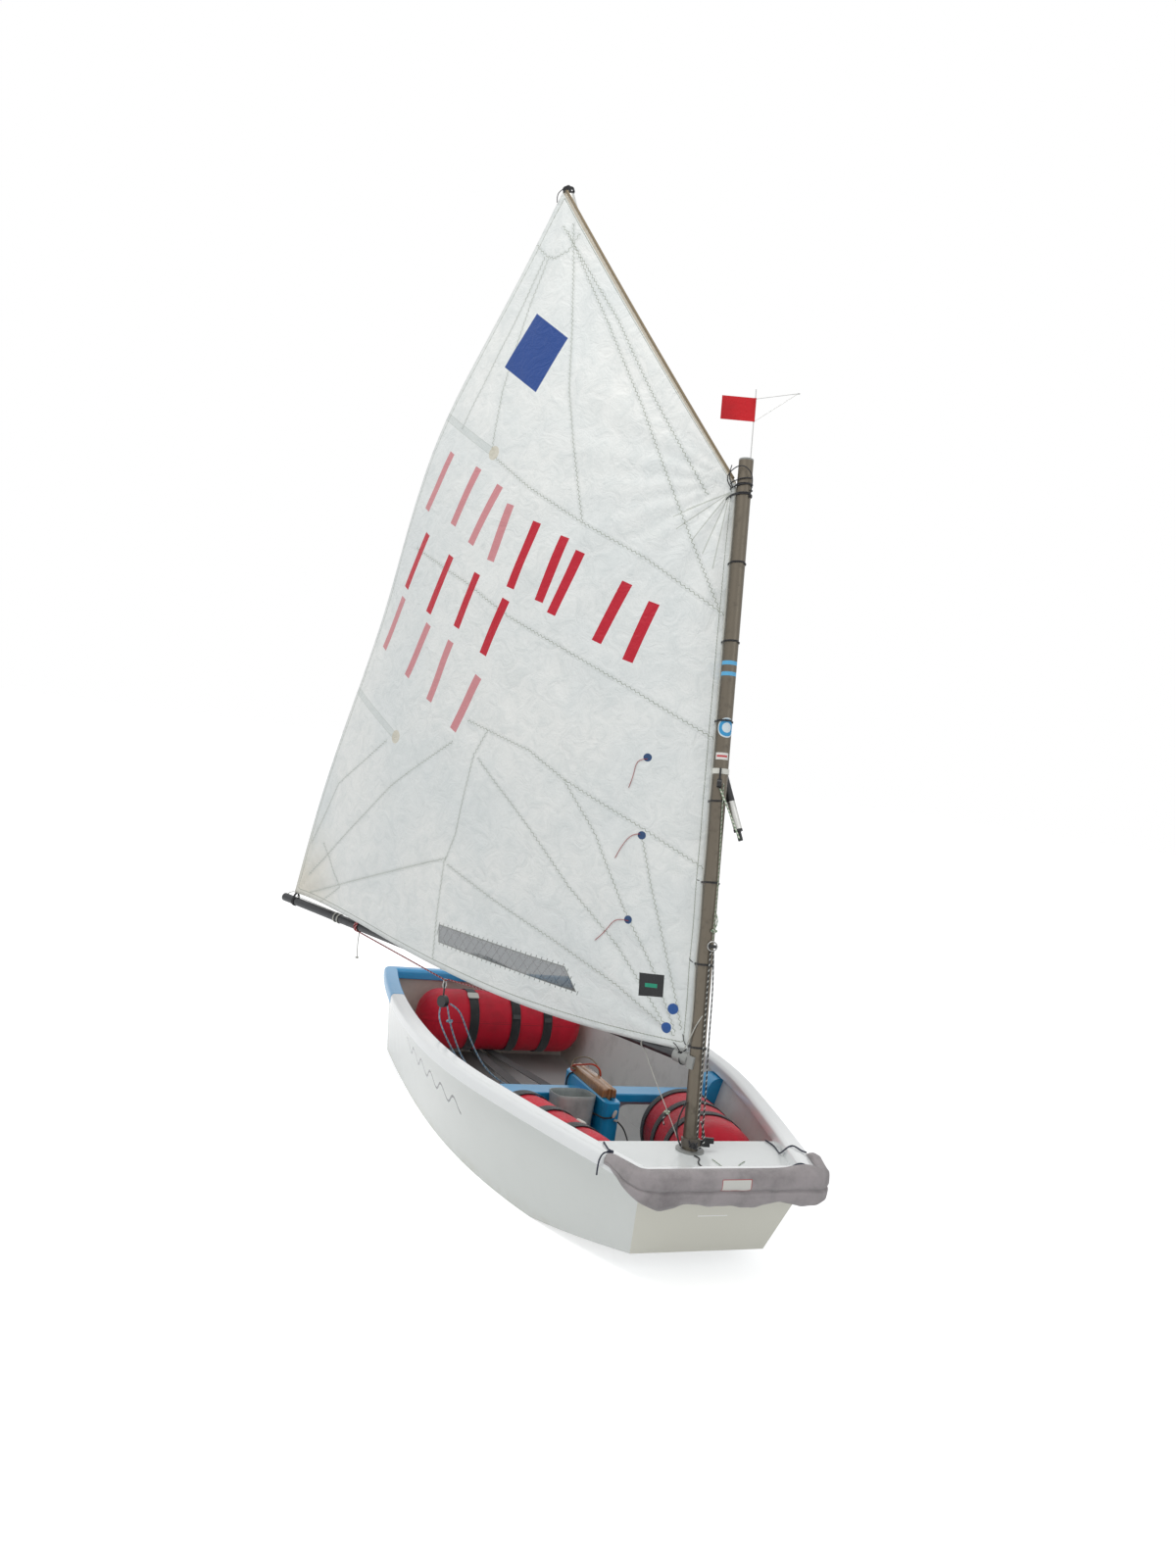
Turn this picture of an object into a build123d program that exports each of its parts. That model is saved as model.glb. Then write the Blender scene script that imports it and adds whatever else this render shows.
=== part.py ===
from build123d import *
import os
from math import asin, atan2, cos, degrees, pi, radians, sin, sqrt, tan

# A small pram dinghy with a spritsail: flat bottom with rocker, flared sides, two raked transoms.
# Millimetres. +X to the bow, +Y to port, +Z up, origin at mid length on the light waterline.

# Hull form
length = 2300.0                 # over the rail
sheer_z = 336.0                 # top edge of the skin
rail_beam = 1134.0              # widest, over the rail
chine_beam = 880.0              # widest, across the bottom
widest_x = -130.0
stern_foot_in, bow_foot_in = 48.5, 131.0        # the bottom ends this far inside the rail's ends
stern_foot_x = stern_foot_in - length / 2
bow_foot_x = length / 2 - bow_foot_in
keel_low_x = -286.0
draft = 62.0
rocker_r = 6350.0
rail_aft_r, rail_mid_r, rail_fore_r = 4520.0, 2160.0, 11700.0   # plan arcs of the rail, tangent to each other
rail_fore_x = 400.0             # where the midship arc ends
chine_aft_r, chine_fore_r = 12400.0, 3025.0
side_wall, floor_wall, transom_wall = 8.0, 12.0, 10.0
station_shares = (0.0, 0.22, 0.44, 0.64, 0.82, 1.0)             # hull sections, from stern to bow

# Rail
rail_width, rail_overhang = 58.0, 25.0
rail_top_z, rail_bottom_z = 354.0, 312.0
rail_bevel, rail_corner_r = 11.0, 40.0
blue_rail_x = -655.0            # forward end of the blue stern rail

# Bow deck, which is also the mast thwart
deck_top_z, deck_aft_x = 316.0, 810.0
deck_sheet, deck_lip, deck_edge_r = 8.0, 20.0, 6.0

# Midship thwart, web frame and daggerboard case
thwart_aft_x, thwart_width, thwart_top_z = 92.0, 88.0, 246.0
thwart_sheet, thwart_lip, thwart_edge_r = 6.0, 28.0, 5.0
knee_height, knee_width, knee_r = 62.0, 60.0, 45.0
web_sheet, web_hole_low_z, web_hole_high_z = 10.0, 16.0, 196.0
web_hole_in_y, web_hole_out_y, web_hole_r = 116.0, 400.0, 40.0
case_aft_x, case_fore_x, case_width, case_top_z = -30.0, 350.0, 60.0, 271.0
case_corner_r, case_top_bevel = 22.0, 4.0
slot_aft_x, slot_length, slot_width = -2.0, 330.0, 17.5
below_hull, above_hull = -3.2 * draft, 1.2 * sheer_z            # a cut between these passes right through

# Daggerboard
board_aft_x, board_chord, board_sheet, board_length = 20.0, 285.0, 14.5, 1067.0
board_bevel, board_tip_fore_r, board_tip_aft_r = 5.5, 70.0, 35.0
cheek_sheet, cheek_height, cheek_edge_r = 18.0, 58.0, 4.0
board_stands_above_cheek = 6.0

# Mast, boom and sprit. The rig's own frame has Z up the mast, X out to the boom, Y to leeward,
# with its origin on the mast's axis at the deck.
mast_x, mast_rake, rig_swing = 889.0, 7.8, 27.5
mast_d, mast_wall, mast_above_deck = 45.0, 2.0, 2065.0
boom_height, boom_rise, boom_d, boom_wall, boom_length = 253.4, 9.15, 32.0, 1.6, 2057.0
sprit_d, sprit_wall, sprit_length, sprit_below_mast = 27.5, 1.5, 2266.0, 204.0
sprit_height, sprit_lean, sprit_twist = 1104.5, 19.68, 19.56
strop_up, strop_height, strop_wall, heel_block_turn = 1112.0, 16.0, 3.0, 122.0
heel_pin_d, heel_line_d = 15.0, 5.0

# Mast fittings
collar_flange_d, collar_flange, collar_tube_d, collar_depth = 84.0, 5.0, 60.0, 40.0
step_length, step_width, step_top_z, step_seat_z, step_wall = 150.0, 100.0, 100.0, 76.0, 8.0
clamp_height, clamp_wall, clamp_up = 22.0, 5.0, 14.0
plug_flange, plug_depth = 5.0, 30.0

# Sail, in the rig's frame
luff_gap, tack_up, throat_up = 7.5, 282.5, 2002.5
clew_from_boom_end, clew_above_boom, sail_sheet = 82.0, 30.0, 2.4
peak_to_leeward, peak_short = 20.0, 14.0
# share of the height, belly to leeward, belly up, leech out, leech to leeward
sail_sections = ((0.0, 96.0, -62.0, 0.0, 0.0), (0.20, 140.0, -34.0, 50.0, 14.0), (0.42, 162.0, -10.0, 68.0, 20.0),
                 (0.67, 138.0, 4.0, 110.0, 38.0), (0.85, 92.0, 8.0, 50.0, 17.0), (1.0, 30.0, 8.0, 0.0, 0.0))

# Ties that hold the sail
tie_count, tie_height, tie_wall, tie_sides = 8, 6.0, 2.6, 12

# Main sheet bridle and blocks
bridle_aft, bridle_fore, bridle_low_out, bridle_drop, bridle_d = 1583.0, 620.0, 1077.0, 64.0, 5.0
block_d, block_width, block_hang = 42.0, 18.0, 73.0
floor_block_x, floor_block_d, floor_block_stand = -150.0, 57.0, 66.0

# Wind vane on the mast's forward side
vane_off, stem_d, stem_above_mast = 15.0, 3.0, 224.0
flag_low, flag_height, flag_length, flag_sheet, flag_turn = 122.0, 74.0, 102.0, 1.2, 40.0
vane_arm, vane_arm_rise, vane_wire_d = 128.0, 26.0, 2.0

# Buoyancy bags
bag_r, bag_side_length, bag_aft_z, bag_rise = 140.0, 580.0, 150.0, 5.0
aft_bag_r, aft_bag_z, aft_bag_port_gap, aft_bag_starboard_gap = 125.0, 180.0, 10.0, 86.0
bag_taper_long, bag_taper_in = 60.0, 42.0
strap_width, strap_sheet, strap_sides, soft_gap = 40.0, 2.5, 24, 0.3
bag_thwart_gap = 30.0
bag_side_aft_x = thwart_aft_x + thwart_width + bag_thwart_gap
anchor_width, anchor_sheet = 36.0, 6.0
side_strap_shares = (0.07, 0.40, 0.73)
aft_strap_y = (-112.0, 73.0, 218.0)

# Hiking straps, bailer and bow fender
toe_width, toe_sheet, toe_aft_y, toe_fore_y, toe_aft_z, toe_fore_z = 45.0, 3.0, 30.0, 90.0, 26.0, 130.0
bailer_x, bailer_y, bailer_turn = 266.0, -92.0, 0.0
bailer_foot_l, bailer_foot_w, bailer_foot_r, bailer_flare = 80.0, 92.0, 30.0, 2.4
bailer_height, bailer_wall, bailer_lift = 295.0, 3.0, 0.3
fender_out, fender_in, fender_low_z, fender_high_z, fender_aft_x = 28.0, 16.0, 266.0, 364.0, 1020.0
fender_bevel = 12.0

# Rudder, hung on pins behind the stern transom. Its frame has Z up the transom, X forward.
pin_off, pin_d, pin_play = 52.0, 8.0, 0.05
lug_z = (100.0, 262.0)
lug_r, lug_height, plate_sheet, plate_width, plate_height = 9.0, 12.0, 3.0, 60.0, 44.0
rudder_lead, rudder_sheet, pintle_height, pintle_strap, pintle_reach = 16.0, 14.5, 14.0, 3.0, 66.0
neck_chord, blade_chord, tip_chord = 112.0, 235.0, 190.0
neck_z, full_z, tip_aft_z, tip_fore_z = 90.0, -150.0, -455.0, -425.0
head_x_long, head_width, head_low_z, head_high_z = 118.0, 42.0, 296.0, 420.0
tiller_d, tiller_wall, tiller_z, tiller_length = 24.0, 1.5, 400.0, 700.0
extension_d, extension_length = 16.0, 530.0

os.makedirs("parts", exist_ok=True)
nodes = {}


# Hull surfaces

def fair_half(x, half, aft_r, mid_r, fore_x=None, fore_r=None):
    """Half breadth of a plan curve made of tangent arcs, widest at widest_x."""
    if fore_x is None or x <= fore_x:
        r = aft_r if x < widest_x else mid_r
        return half - r + sqrt(r * r - (x - widest_x) ** 2)
    turn = asin((fore_x - widest_x) / mid_r)
    centre_x = fore_x - fore_r * sin(turn)
    centre_y = half - mid_r + (mid_r - fore_r) * cos(turn)
    return centre_y + sqrt(fore_r ** 2 - (x - centre_x) ** 2)


def rail_half(x):
    return fair_half(x, rail_beam / 2, rail_aft_r, rail_mid_r, rail_fore_x, rail_fore_r)


def chine_half(x):
    return fair_half(x, chine_beam / 2, chine_aft_r, chine_fore_r)


def keel_z(x):
    return rocker_r - draft - sqrt(rocker_r ** 2 - (x - keel_low_x) ** 2)


stern_top_x = -length / 2 + rail_overhang
bow_top_x = length / 2 - rail_overhang


def hull_section(share, side, floor, end, top_z):
    """One cross section, leaning between the rakes of the two transoms, moved in by the walls."""
    foot_x = (1 - share) * (stern_foot_x + end) + share * (bow_foot_x - end)
    head_x = (1 - share) * (stern_top_x + end) + share * (bow_top_x - end)
    foot_z, foot_half = keel_z(foot_x), chine_half(foot_x)
    flare = (rail_half(head_x) - rail_overhang - foot_half) / (sheer_z - foot_z)
    lean = (head_x - foot_x) / (sheer_z - foot_z)
    wall = side * sqrt(1 + flare ** 2)
    corners = []
    for z, sides in ((foot_z + floor, (-1, 1)), (top_z, (1, -1))):
        half = foot_half + flare * (z - foot_z) - wall
        corners += [(foot_x + lean * (z - foot_z), s * half, z) for s in sides]
    return make_face(Polyline(*corners, close=True))


def hull_volume(side, floor, end, top_z):
    return loft([hull_section(s, side, floor, end, top_z) for s in station_shares])


def inner_half(x, z):
    """Half breadth inside the side wall at a height."""
    foot = chine_half(x)
    flare = (rail_half(x) - rail_overhang - foot) / (sheer_z - keel_z(x))
    return foot + flare * (z - keel_z(x)) - side_wall * sqrt(1 + flare ** 2)


def plan(inset):
    """The rail's outline in plan, moved in by inset: three tangent arcs a side between the transoms."""
    top = (widest_x, rail_beam / 2 - inset)
    over = 40.0
    turn = degrees(asin((rail_fore_x - widest_x) / rail_mid_r))
    aft = JernArc(top, (-1, 0), rail_aft_r - inset,
                  degrees(asin((length / 2 + widest_x + over - inset) / (rail_aft_r - inset))))
    mid = JernArc(top, (1, 0), rail_mid_r - inset, -turn)
    fore = JernArc(mid @ 1, mid % 1, rail_fore_r - inset,
                   -degrees((length / 2 - rail_fore_x + over - inset) / (rail_fore_r - inset)))
    ends = Polyline(fore @ 1, ((fore @ 1).X, 0), ((aft @ 1).X, 0), aft @ 1)
    half = make_face([aft, mid, fore, ends])
    whole = half + mirror(half, about=Plane.XZ)
    return whole & Rectangle(length - 2 * inset, rail_beam * 2)


def plan_prism(inset, low_z, high_z):
    """The plan outline with its four corners rounded, between two heights."""
    face = plan(inset)
    corners = face.vertices().group_by(Axis.X)[0] + face.vertices().group_by(Axis.X)[-1]
    return Pos(0, 0, low_z) * extrude(fillet(corners, max(rail_corner_r - inset, 6.0)), high_z - low_z)


def box(x, y, z):
    """A box between pairs of limits."""
    size = [high - low for low, high in (x, y, z)]
    middle = [(low + high) / 2 for low, high in (x, y, z)]
    return Pos(*middle) * Box(*size)


def moulding(profile, rounded, radius):
    """A moulding of one profile right across the hull. Points are x, z; some corners are rounded."""
    face = make_face(Polyline(*profile, close=True))
    corners = [face.vertices().sort_by_distance((*profile[i], 0))[0] for i in rounded]
    return extrude(Plane.XZ * fillet(corners, radius), rail_beam / 2, both=True)


outside = hull_volume(0, 0, 0, sheer_z)
cavity = hull_volume(side_wall, floor_wall, transom_wall, sheer_z + 24)
slot = box((slot_aft_x, slot_aft_x + slot_length), (-slot_width / 2, slot_width / 2),
           (below_hull, above_hull))
hull = outside - cavity
nodes["hull_shell"] = hull - slot

# Rail: a bevelled moulding that covers the skin's top edge, white with a blue length round the stern
rail = plan_prism(0, rail_bottom_z, rail_top_z) - plan_prism(rail_width, rail_bottom_z, rail_top_z)
rail = chamfer(rail.faces().sort_by(Axis.Z)[-1].edges(), rail_bevel)
rail -= hull
aft_part = box((-length, blue_rail_x), (-length, length), (0, 2 * rail_top_z))
nodes["rail_white"] = rail - aft_part
nodes["rail_blue"] = rail & aft_part

# The mast's axis
deck_point = Vector(mast_x, 0, deck_top_z)
mast_up = Vector(-sin(radians(mast_rake)), 0, cos(radians(mast_rake)))
perpendicular_aft = Vector(-cos(radians(mast_rake)), 0, -sin(radians(mast_rake)))
boom_side = perpendicular_aft * cos(radians(rig_swing)) + Vector(0, -sin(radians(rig_swing)), 0)
rig = Plane(origin=deck_point, x_dir=boom_side, z_dir=mast_up).location


def rod(diameter, start, end):
    """A round bar between two points."""
    start, end = Vector(*start), Vector(*end)
    base = Plane(origin=start, z_dir=end - start)
    return extrude(base * Circle(diameter / 2), (end - start).length)


def tube(diameter, wall, start, end):
    return rod(diameter, start, end) - rod(diameter - 2 * wall, start, end)


def ring(inner_d, wall, low_z, high_z):
    outer = Cylinder(inner_d / 2 + wall, high_z - low_z, align=(Align.CENTER, Align.CENTER, Align.MIN))
    bore = Cylinder(inner_d / 2, high_z - low_z, align=(Align.CENTER, Align.CENTER, Align.MIN))
    return Pos(0, 0, low_z) * (outer - bore)


def loop(inner_d, wall, height, sides):
    """A band of flat sides drawn round a bar, centred on the origin."""
    outer = RegularPolygon(inner_d / 2 + wall, sides, major_radius=False)
    bore = RegularPolygon(inner_d / 2, sides, major_radius=False)
    return extrude(outer - bore, height / 2, both=True)


# Bow deck with a turned-down aft edge, and the collar that the mast turns in
deck_fore_x = length / 2
deck_low_z = deck_top_z - deck_sheet
deck_profile = ((deck_fore_x, deck_top_z), (deck_aft_x, deck_top_z), (deck_aft_x, deck_top_z - deck_lip),
                (deck_aft_x + deck_sheet, deck_top_z - deck_lip), (deck_aft_x + deck_sheet, deck_low_z),
                (deck_fore_x, deck_low_z))
deck = moulding(deck_profile, (1,), deck_edge_r) & cavity
collar_tube = rig * rod(collar_tube_d, (0, 0, -collar_depth), (0, 0, collar_flange + 10))
nodes["bow_deck"] = deck - rail - collar_tube
collar_play = 1.0
collar_flat = Pos(mast_x, 0, deck_top_z) * Cylinder(
    collar_flange_d / 2, collar_flange, align=(Align.CENTER, Align.CENTER, Align.MIN))
below_flange = box((0, length), (-rail_beam, rail_beam), (0, deck_top_z + collar_flange))
collar = collar_flat + (collar_tube & below_flange)
collar -= rig * rod(mast_d + 2 * collar_play, (0, 0, -2 * collar_depth), (0, 0, 2 * collar_depth))
nodes["mast_collar"] = collar

# Mast step, a cup on the floor
mast_below_deck = (deck_top_z - step_seat_z) / cos(radians(mast_rake))
step_x = mast_x + mast_below_deck * sin(radians(mast_rake))
step = box((step_x - step_length / 2, step_x + step_length / 2), (-step_width / 2, step_width / 2),
           (0, step_top_z))
step = fillet(step.edges().filter_by(Axis.Z), 18) & cavity
step -= rig * rod(mast_d + 2 * collar_play, (0, 0, -mast_below_deck), (0, 0, 0))
nodes["mast_step"] = step

# Daggerboard case, midship thwart and the web frame under it
case = box((case_aft_x, case_fore_x), (-case_width / 2, case_width / 2), (below_hull, case_top_z))
case = fillet(case.edges().filter_by(Axis.Z), case_corner_r)
case = chamfer(case.faces().sort_by(Axis.Z)[-1].edges(), case_top_bevel)
nodes["daggerboard_case"] = (case & cavity) - slot

thwart_fore_x = thwart_aft_x + thwart_width
web_x = thwart_aft_x + thwart_width / 2
outer_low, inner_high = thwart_top_z - thwart_lip, thwart_top_z - thwart_sheet
thwart_profile = ((thwart_aft_x, outer_low), (thwart_aft_x, thwart_top_z), (thwart_fore_x, thwart_top_z),
                  (thwart_fore_x, outer_low), (thwart_fore_x - thwart_sheet, outer_low),
                  (thwart_fore_x - thwart_sheet, inner_high), (thwart_aft_x + thwart_sheet, inner_high),
                  (thwart_aft_x + thwart_sheet, outer_low))
thwart = moulding(thwart_profile, (1, 2), thwart_edge_r)
knee_top = thwart_top_z + knee_height
for side in (-1, 1):
    wall_y = side * inner_half(thwart_fore_x, knee_top)
    near_y = wall_y - side * knee_width
    far_y = wall_y + side * 2 * knee_width
    knee = box((thwart_aft_x, thwart_fore_x), sorted((near_y, far_y)), (thwart_top_z - thwart_sheet, knee_top))
    thwart += fillet(knee.edges().filter_by(Axis.X).sort_by_distance((web_x, near_y, knee_top))[0], knee_r)
thwart = (thwart & cavity) - case
nodes["midship_thwart"] = thwart

web = box((web_x - web_sheet / 2, web_x + web_sheet / 2), (-rail_beam / 2, rail_beam / 2),
          (below_hull, thwart_top_z - thwart_sheet))
web = (web & cavity) - case
hole_y = (web_hole_in_y + web_hole_out_y) / 2
hole_z = (web_hole_low_z + web_hole_high_z) / 2
hole = Plane.YZ * RectangleRounded(web_hole_out_y - web_hole_in_y, web_hole_high_z - web_hole_low_z, web_hole_r)
for side in (-1, 1):
    web -= Pos(web_x - web_sheet, side * hole_y, hole_z) * extrude(hole, 2 * web_sheet)
nodes["midship_web"] = web


# Daggerboard: a board with bevelled edges and two cheeks that rest on the case
board_seat = 0.3
cheek_low_z = case_top_z + board_seat
board_top_z = cheek_low_z + cheek_height + board_stands_above_cheek
board_fore_x = board_aft_x + board_chord
board = box((board_aft_x, board_fore_x), (-board_sheet / 2, board_sheet / 2),
            (board_top_z - board_length, board_top_z))
low_corners = board.edges().filter_by(Axis.Y).group_by(Axis.Z)[0].sort_by(Axis.X)
board = fillet(low_corners[-1], board_tip_fore_r)
board = fillet(board.edges().filter_by(Axis.Y).group_by(Axis.Z)[0].sort_by(Axis.X)[0], board_tip_aft_r)
board = chamfer(board.faces().filter_by(Plane.XZ).edges(), board_bevel)
nodes["daggerboard_blade"] = board
cheeks = Part()
for side in (-1, 1):
    near, far = side * board_sheet / 2, side * (board_sheet / 2 + cheek_sheet)
    cheek = box((board_aft_x, board_fore_x), sorted((near, far)), (cheek_low_z, cheek_low_z + cheek_height))
    outer_face = cheek.faces().sort_by(Axis.Y)[-1 if side > 0 else 0]
    cheeks += fillet(outer_face.edges(), cheek_edge_r)
nodes["daggerboard_cheeks"] = cheeks - board


# Buoyancy bags and their straps

def bag(length_over, radius):
    """An inflated bag lying along X, with ends that draw in to round caps."""
    body = Rot(0, 90, 0) * Cylinder(radius, length_over)
    rims = body.edges().filter_by(GeomType.CIRCLE)
    return chamfer(rims, bag_taper_long, bag_taper_in, reference=body.faces().filter_by(GeomType.CYLINDER)[0])


def strap(radius, along):
    """A webbing loop round a bag that lies along X."""
    return Pos(along, 0, 0) * Rot(0, 90, 0) * loop(2 * (radius + soft_gap), strap_sheet, strap_width, strap_sides)


def strap_seat(radius):
    """From a bag's axis to what its straps touch."""
    return (radius + soft_gap + strap_sheet) / cos(pi / strap_sides) + soft_gap


stern_slope = (stern_top_x - stern_foot_x) / (sheer_z - keel_z(stern_foot_x))
aft_bag_x = (stern_foot_x + stern_slope * (aft_bag_z - keel_z(stern_foot_x)) + transom_wall
             + strap_seat(aft_bag_r) * sqrt(1 + stern_slope ** 2))
aft_place = Pos(aft_bag_x, 0, aft_bag_z) * Rot(0, 0, 90)
corner_reach = (aft_bag_r - bag_taper_in) * sqrt(0.5)
side_room = inner_half(aft_bag_x - corner_reach, aft_bag_z - corner_reach)
aft_bag_port_y, aft_bag_starboard_y = side_room - aft_bag_port_gap, aft_bag_starboard_gap - side_room
aft_bag_middle = Pos((aft_bag_port_y + aft_bag_starboard_y) / 2, 0, 0)
nodes["bag_aft"] = aft_place * aft_bag_middle * bag(aft_bag_port_y - aft_bag_starboard_y, aft_bag_r)
nodes["bag_aft_straps"] = Part() + [aft_place * strap(aft_bag_r, y) for y in aft_strap_y]


def bag_z(x):
    return bag_aft_z + (x - bag_side_aft_x) * tan(radians(bag_rise))


def side_centre(x):
    """Where a side bag's axis may run at x, so that its straps just clear the flared side."""
    step_x, z = 1.0, bag_z(x)
    slope_x = (inner_half(x + step_x, z) - inner_half(x - step_x, z)) / (2 * step_x)
    slope_z = (inner_half(x, z + step_x) - inner_half(x, z - step_x)) / (2 * step_x)
    return inner_half(x, z) - strap_seat(bag_r) * sqrt(1 + slope_x ** 2 + slope_z ** 2)


def anchor(radius, along, side):
    """A tab on a strap's outer side, long enough to reach the skin."""
    reach = 3 * radius
    middle_y = side * (radius + soft_gap + reach / 2)
    return Pos(along, middle_y, 0) * Box(anchor_width, reach, anchor_sheet)


first_x = bag_side_aft_x + bag_taper_long
last_x = bag_side_aft_x + bag_side_length - bag_taper_long
for name, side in (("port", 1), ("starboard", -1)):
    start, end = [Vector(x, side * side_centre(x), bag_z(x)) for x in (first_x, last_x)]
    run = end - start
    place = Plane(origin=start, x_dir=run, z_dir=run.cross(Vector(0, 1, 0))).location
    nodes["bag_" + name] = place * Pos(run.length / 2, 0, 0) * bag(run.length + 2 * bag_taper_long, bag_r)
    straps = Part()
    for share in side_strap_shares:
        straps += place * (strap(bag_r, run.length * share) + anchor(bag_r, run.length * share, side))
    nodes["bag_" + name + "_straps"] = straps & cavity

# Hiking straps, from the foot of the stern transom to the web frame
toe_start_x = stern_foot_x + transom_wall + stern_slope * (toe_aft_z - keel_z(stern_foot_x)) + 2 * soft_gap
toe_end_x = web_x - web_sheet / 2 - soft_gap
toes = Part()
for side in (-1, 1):
    start = Vector(toe_start_x, side * toe_aft_y, toe_aft_z)
    end = Vector(toe_end_x, side * toe_fore_y, toe_fore_z)
    run = end - start
    lie = Plane(origin=start, x_dir=run, z_dir=run.cross(Vector(0, 1, 0)) * -1)
    strip = lie.location * box((-40, run.length + 40), (-toe_width / 2, toe_width / 2), (0, toe_sheet))
    toes += strip & box((toe_start_x, toe_end_x), (-rail_beam, rail_beam), (-draft, sheer_z))
nodes["hiking_straps"] = toes & cavity

# Bailer, a tapered open scoop standing on the floor
def bailer_outline(inset):
    """A rectangle whose corners turn in flats of 30 degrees."""
    r = bailer_foot_r - inset
    x, y = bailer_foot_l / 2 - bailer_foot_r, bailer_foot_w / 2 - bailer_foot_r
    points = []
    for turn, across, along in ((0, x, y), (90, -x, y), (180, -x, -y), (270, x, -y)):
        points += [(across + r * cos(radians(turn + a)), along + r * sin(radians(turn + a))) for a in (0, 30, 60, 90)]
    return make_face(Polyline(*points, close=True))


def bailer_volume(inset):
    spread = bailer_height * tan(radians(bailer_flare))
    return loft([bailer_outline(inset), Pos(0, 0, bailer_height) * bailer_outline(inset - spread)], ruled=True)


bailer = bailer_volume(0) - Pos(0, 0, bailer_wall) * bailer_volume(bailer_wall)
floor_tilt = -degrees(asin((bailer_x - keel_low_x) / rocker_r))
bailer_place = Pos(bailer_x, bailer_y, keel_z(bailer_x) + floor_wall + bailer_lift)
bailer_place *= Rot(0, floor_tilt, 0) * Rot(0, 0, bailer_turn)
nodes["bailer"] = bailer_place * bailer

# Bow fender, a padded roll round the front of the rail
fender = plan_prism(-fender_out, fender_low_z, fender_high_z)
fender = chamfer(fender.edges().group_by(Axis.Z)[-1] + fender.edges().group_by(Axis.Z)[0], fender_bevel)
fender &= box((fender_aft_x, length), (-rail_beam, rail_beam), (0, 2 * rail_top_z))
fender -= plan_prism(-soft_gap, 0, rail_top_z + soft_gap) + plan_prism(fender_in, 0, 2 * rail_top_z)
nodes["bow_fender"] = fender

# Main sheet block on the floor
floor_z = keel_z(floor_block_x) + floor_wall
sheave_z = floor_z + floor_block_stand
floor_block = Pos(floor_block_x, 0, floor_z - 3) * Cylinder(26, 9, align=(Align.CENTER, Align.CENTER, Align.MIN))
floor_block += rod(12, (floor_block_x, 0, floor_z), (floor_block_x, 0, sheave_z - 20))
floor_block += rod(floor_block_d, (floor_block_x, -13, sheave_z), (floor_block_x, 13, sheave_z))
nodes["floor_block"] = floor_block & cavity


# Rig: everything here turns with the mast
mast_r = mast_d / 2
mast_foot_play = 0.3
mast_foot = -mast_below_deck + mast_foot_play
nodes["mast_tube"] = rig * tube(mast_d, mast_wall, (0, 0, mast_foot + plug_flange), (0, 0, mast_above_deck))
foot_plug = rod(mast_d, (0, 0, mast_foot), (0, 0, mast_foot + plug_flange))
foot_plug += rod(mast_d - 2 * mast_wall, (0, 0, mast_foot), (0, 0, mast_foot + plug_depth))
top_z = mast_above_deck + plug_flange
top_plug = rod(mast_d, (0, 0, mast_above_deck), (0, 0, top_z))
top_plug += rod(mast_d - 2 * mast_wall, (0, 0, mast_above_deck - plug_depth), (0, 0, top_z))
stem_foot = mast_above_deck - plug_depth
top_plug -= rod(stem_d, (-vane_off, 0, stem_foot), (-vane_off, 0, top_z + 1))
nodes["mast_plugs"] = rig * (foot_plug + top_plug)
stem_top = mast_above_deck + stem_above_mast
nodes["vane_stem"] = rig * rod(stem_d, (-vane_off, 0, stem_foot), (-vane_off, 0, stem_top))

# Mast clamp with its cleat, just above the collar
clamp = ring(mast_d, clamp_wall, clamp_up, clamp_up + clamp_height)
cleat = box((mast_r + 2, mast_r + 34), (-8, 8), (clamp_up, clamp_up + 18))
cleat += box((mast_r + 14, mast_r + 46), (-6, 6), (clamp_up + 10, clamp_up + 26))
clamp += Rot(0, 0, -135) * (cleat - rod(mast_d + 2, (0, 0, 0), (0, 0, 100)))
nodes["mast_clamp"] = rig * clamp

# Boom with its jaw. Its own axis rises from the rig's X.
boom = Pos(0, 0, boom_height) * Rot(0, -boom_rise, 0)
jaw_reach, jaw_height, jaw_wall, boom_start = 78.0, 36.0, 9.0, 44.0
jaw = Pos(0, 0, -jaw_height / 2) * extrude(Circle(mast_r + jaw_wall), jaw_height)
jaw -= box((-60, -6), (-60, 60), (-jaw_height, jaw_height))
jaw += rod(boom_d + 8, (mast_r + 4, 0, 0), (jaw_reach, 0, 0))
jaw = boom * (jaw - rod(boom_d, (boom_start, 0, 0), (2 * jaw_reach, 0, 0)))
nodes["boom_jaw"] = rig * (jaw - rod(mast_d + 0.6, (0, 0, 0), (0, 0, 2 * boom_height)))
boom_cap = 8.0
boom_end = boom_length - boom_cap
nodes["boom_tube"] = rig * boom * tube(boom_d, boom_wall, (boom_start, 0, 0), (boom_end, 0, 0))
cap = rod(boom_d, (boom_end, 0, 0), (boom_length, 0, 0))
cap += rod(boom_d - 2 * boom_wall, (boom_end - plug_depth, 0, 0), (boom_length, 0, 0))
nodes["boom_cap"] = rig * boom * cap

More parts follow.
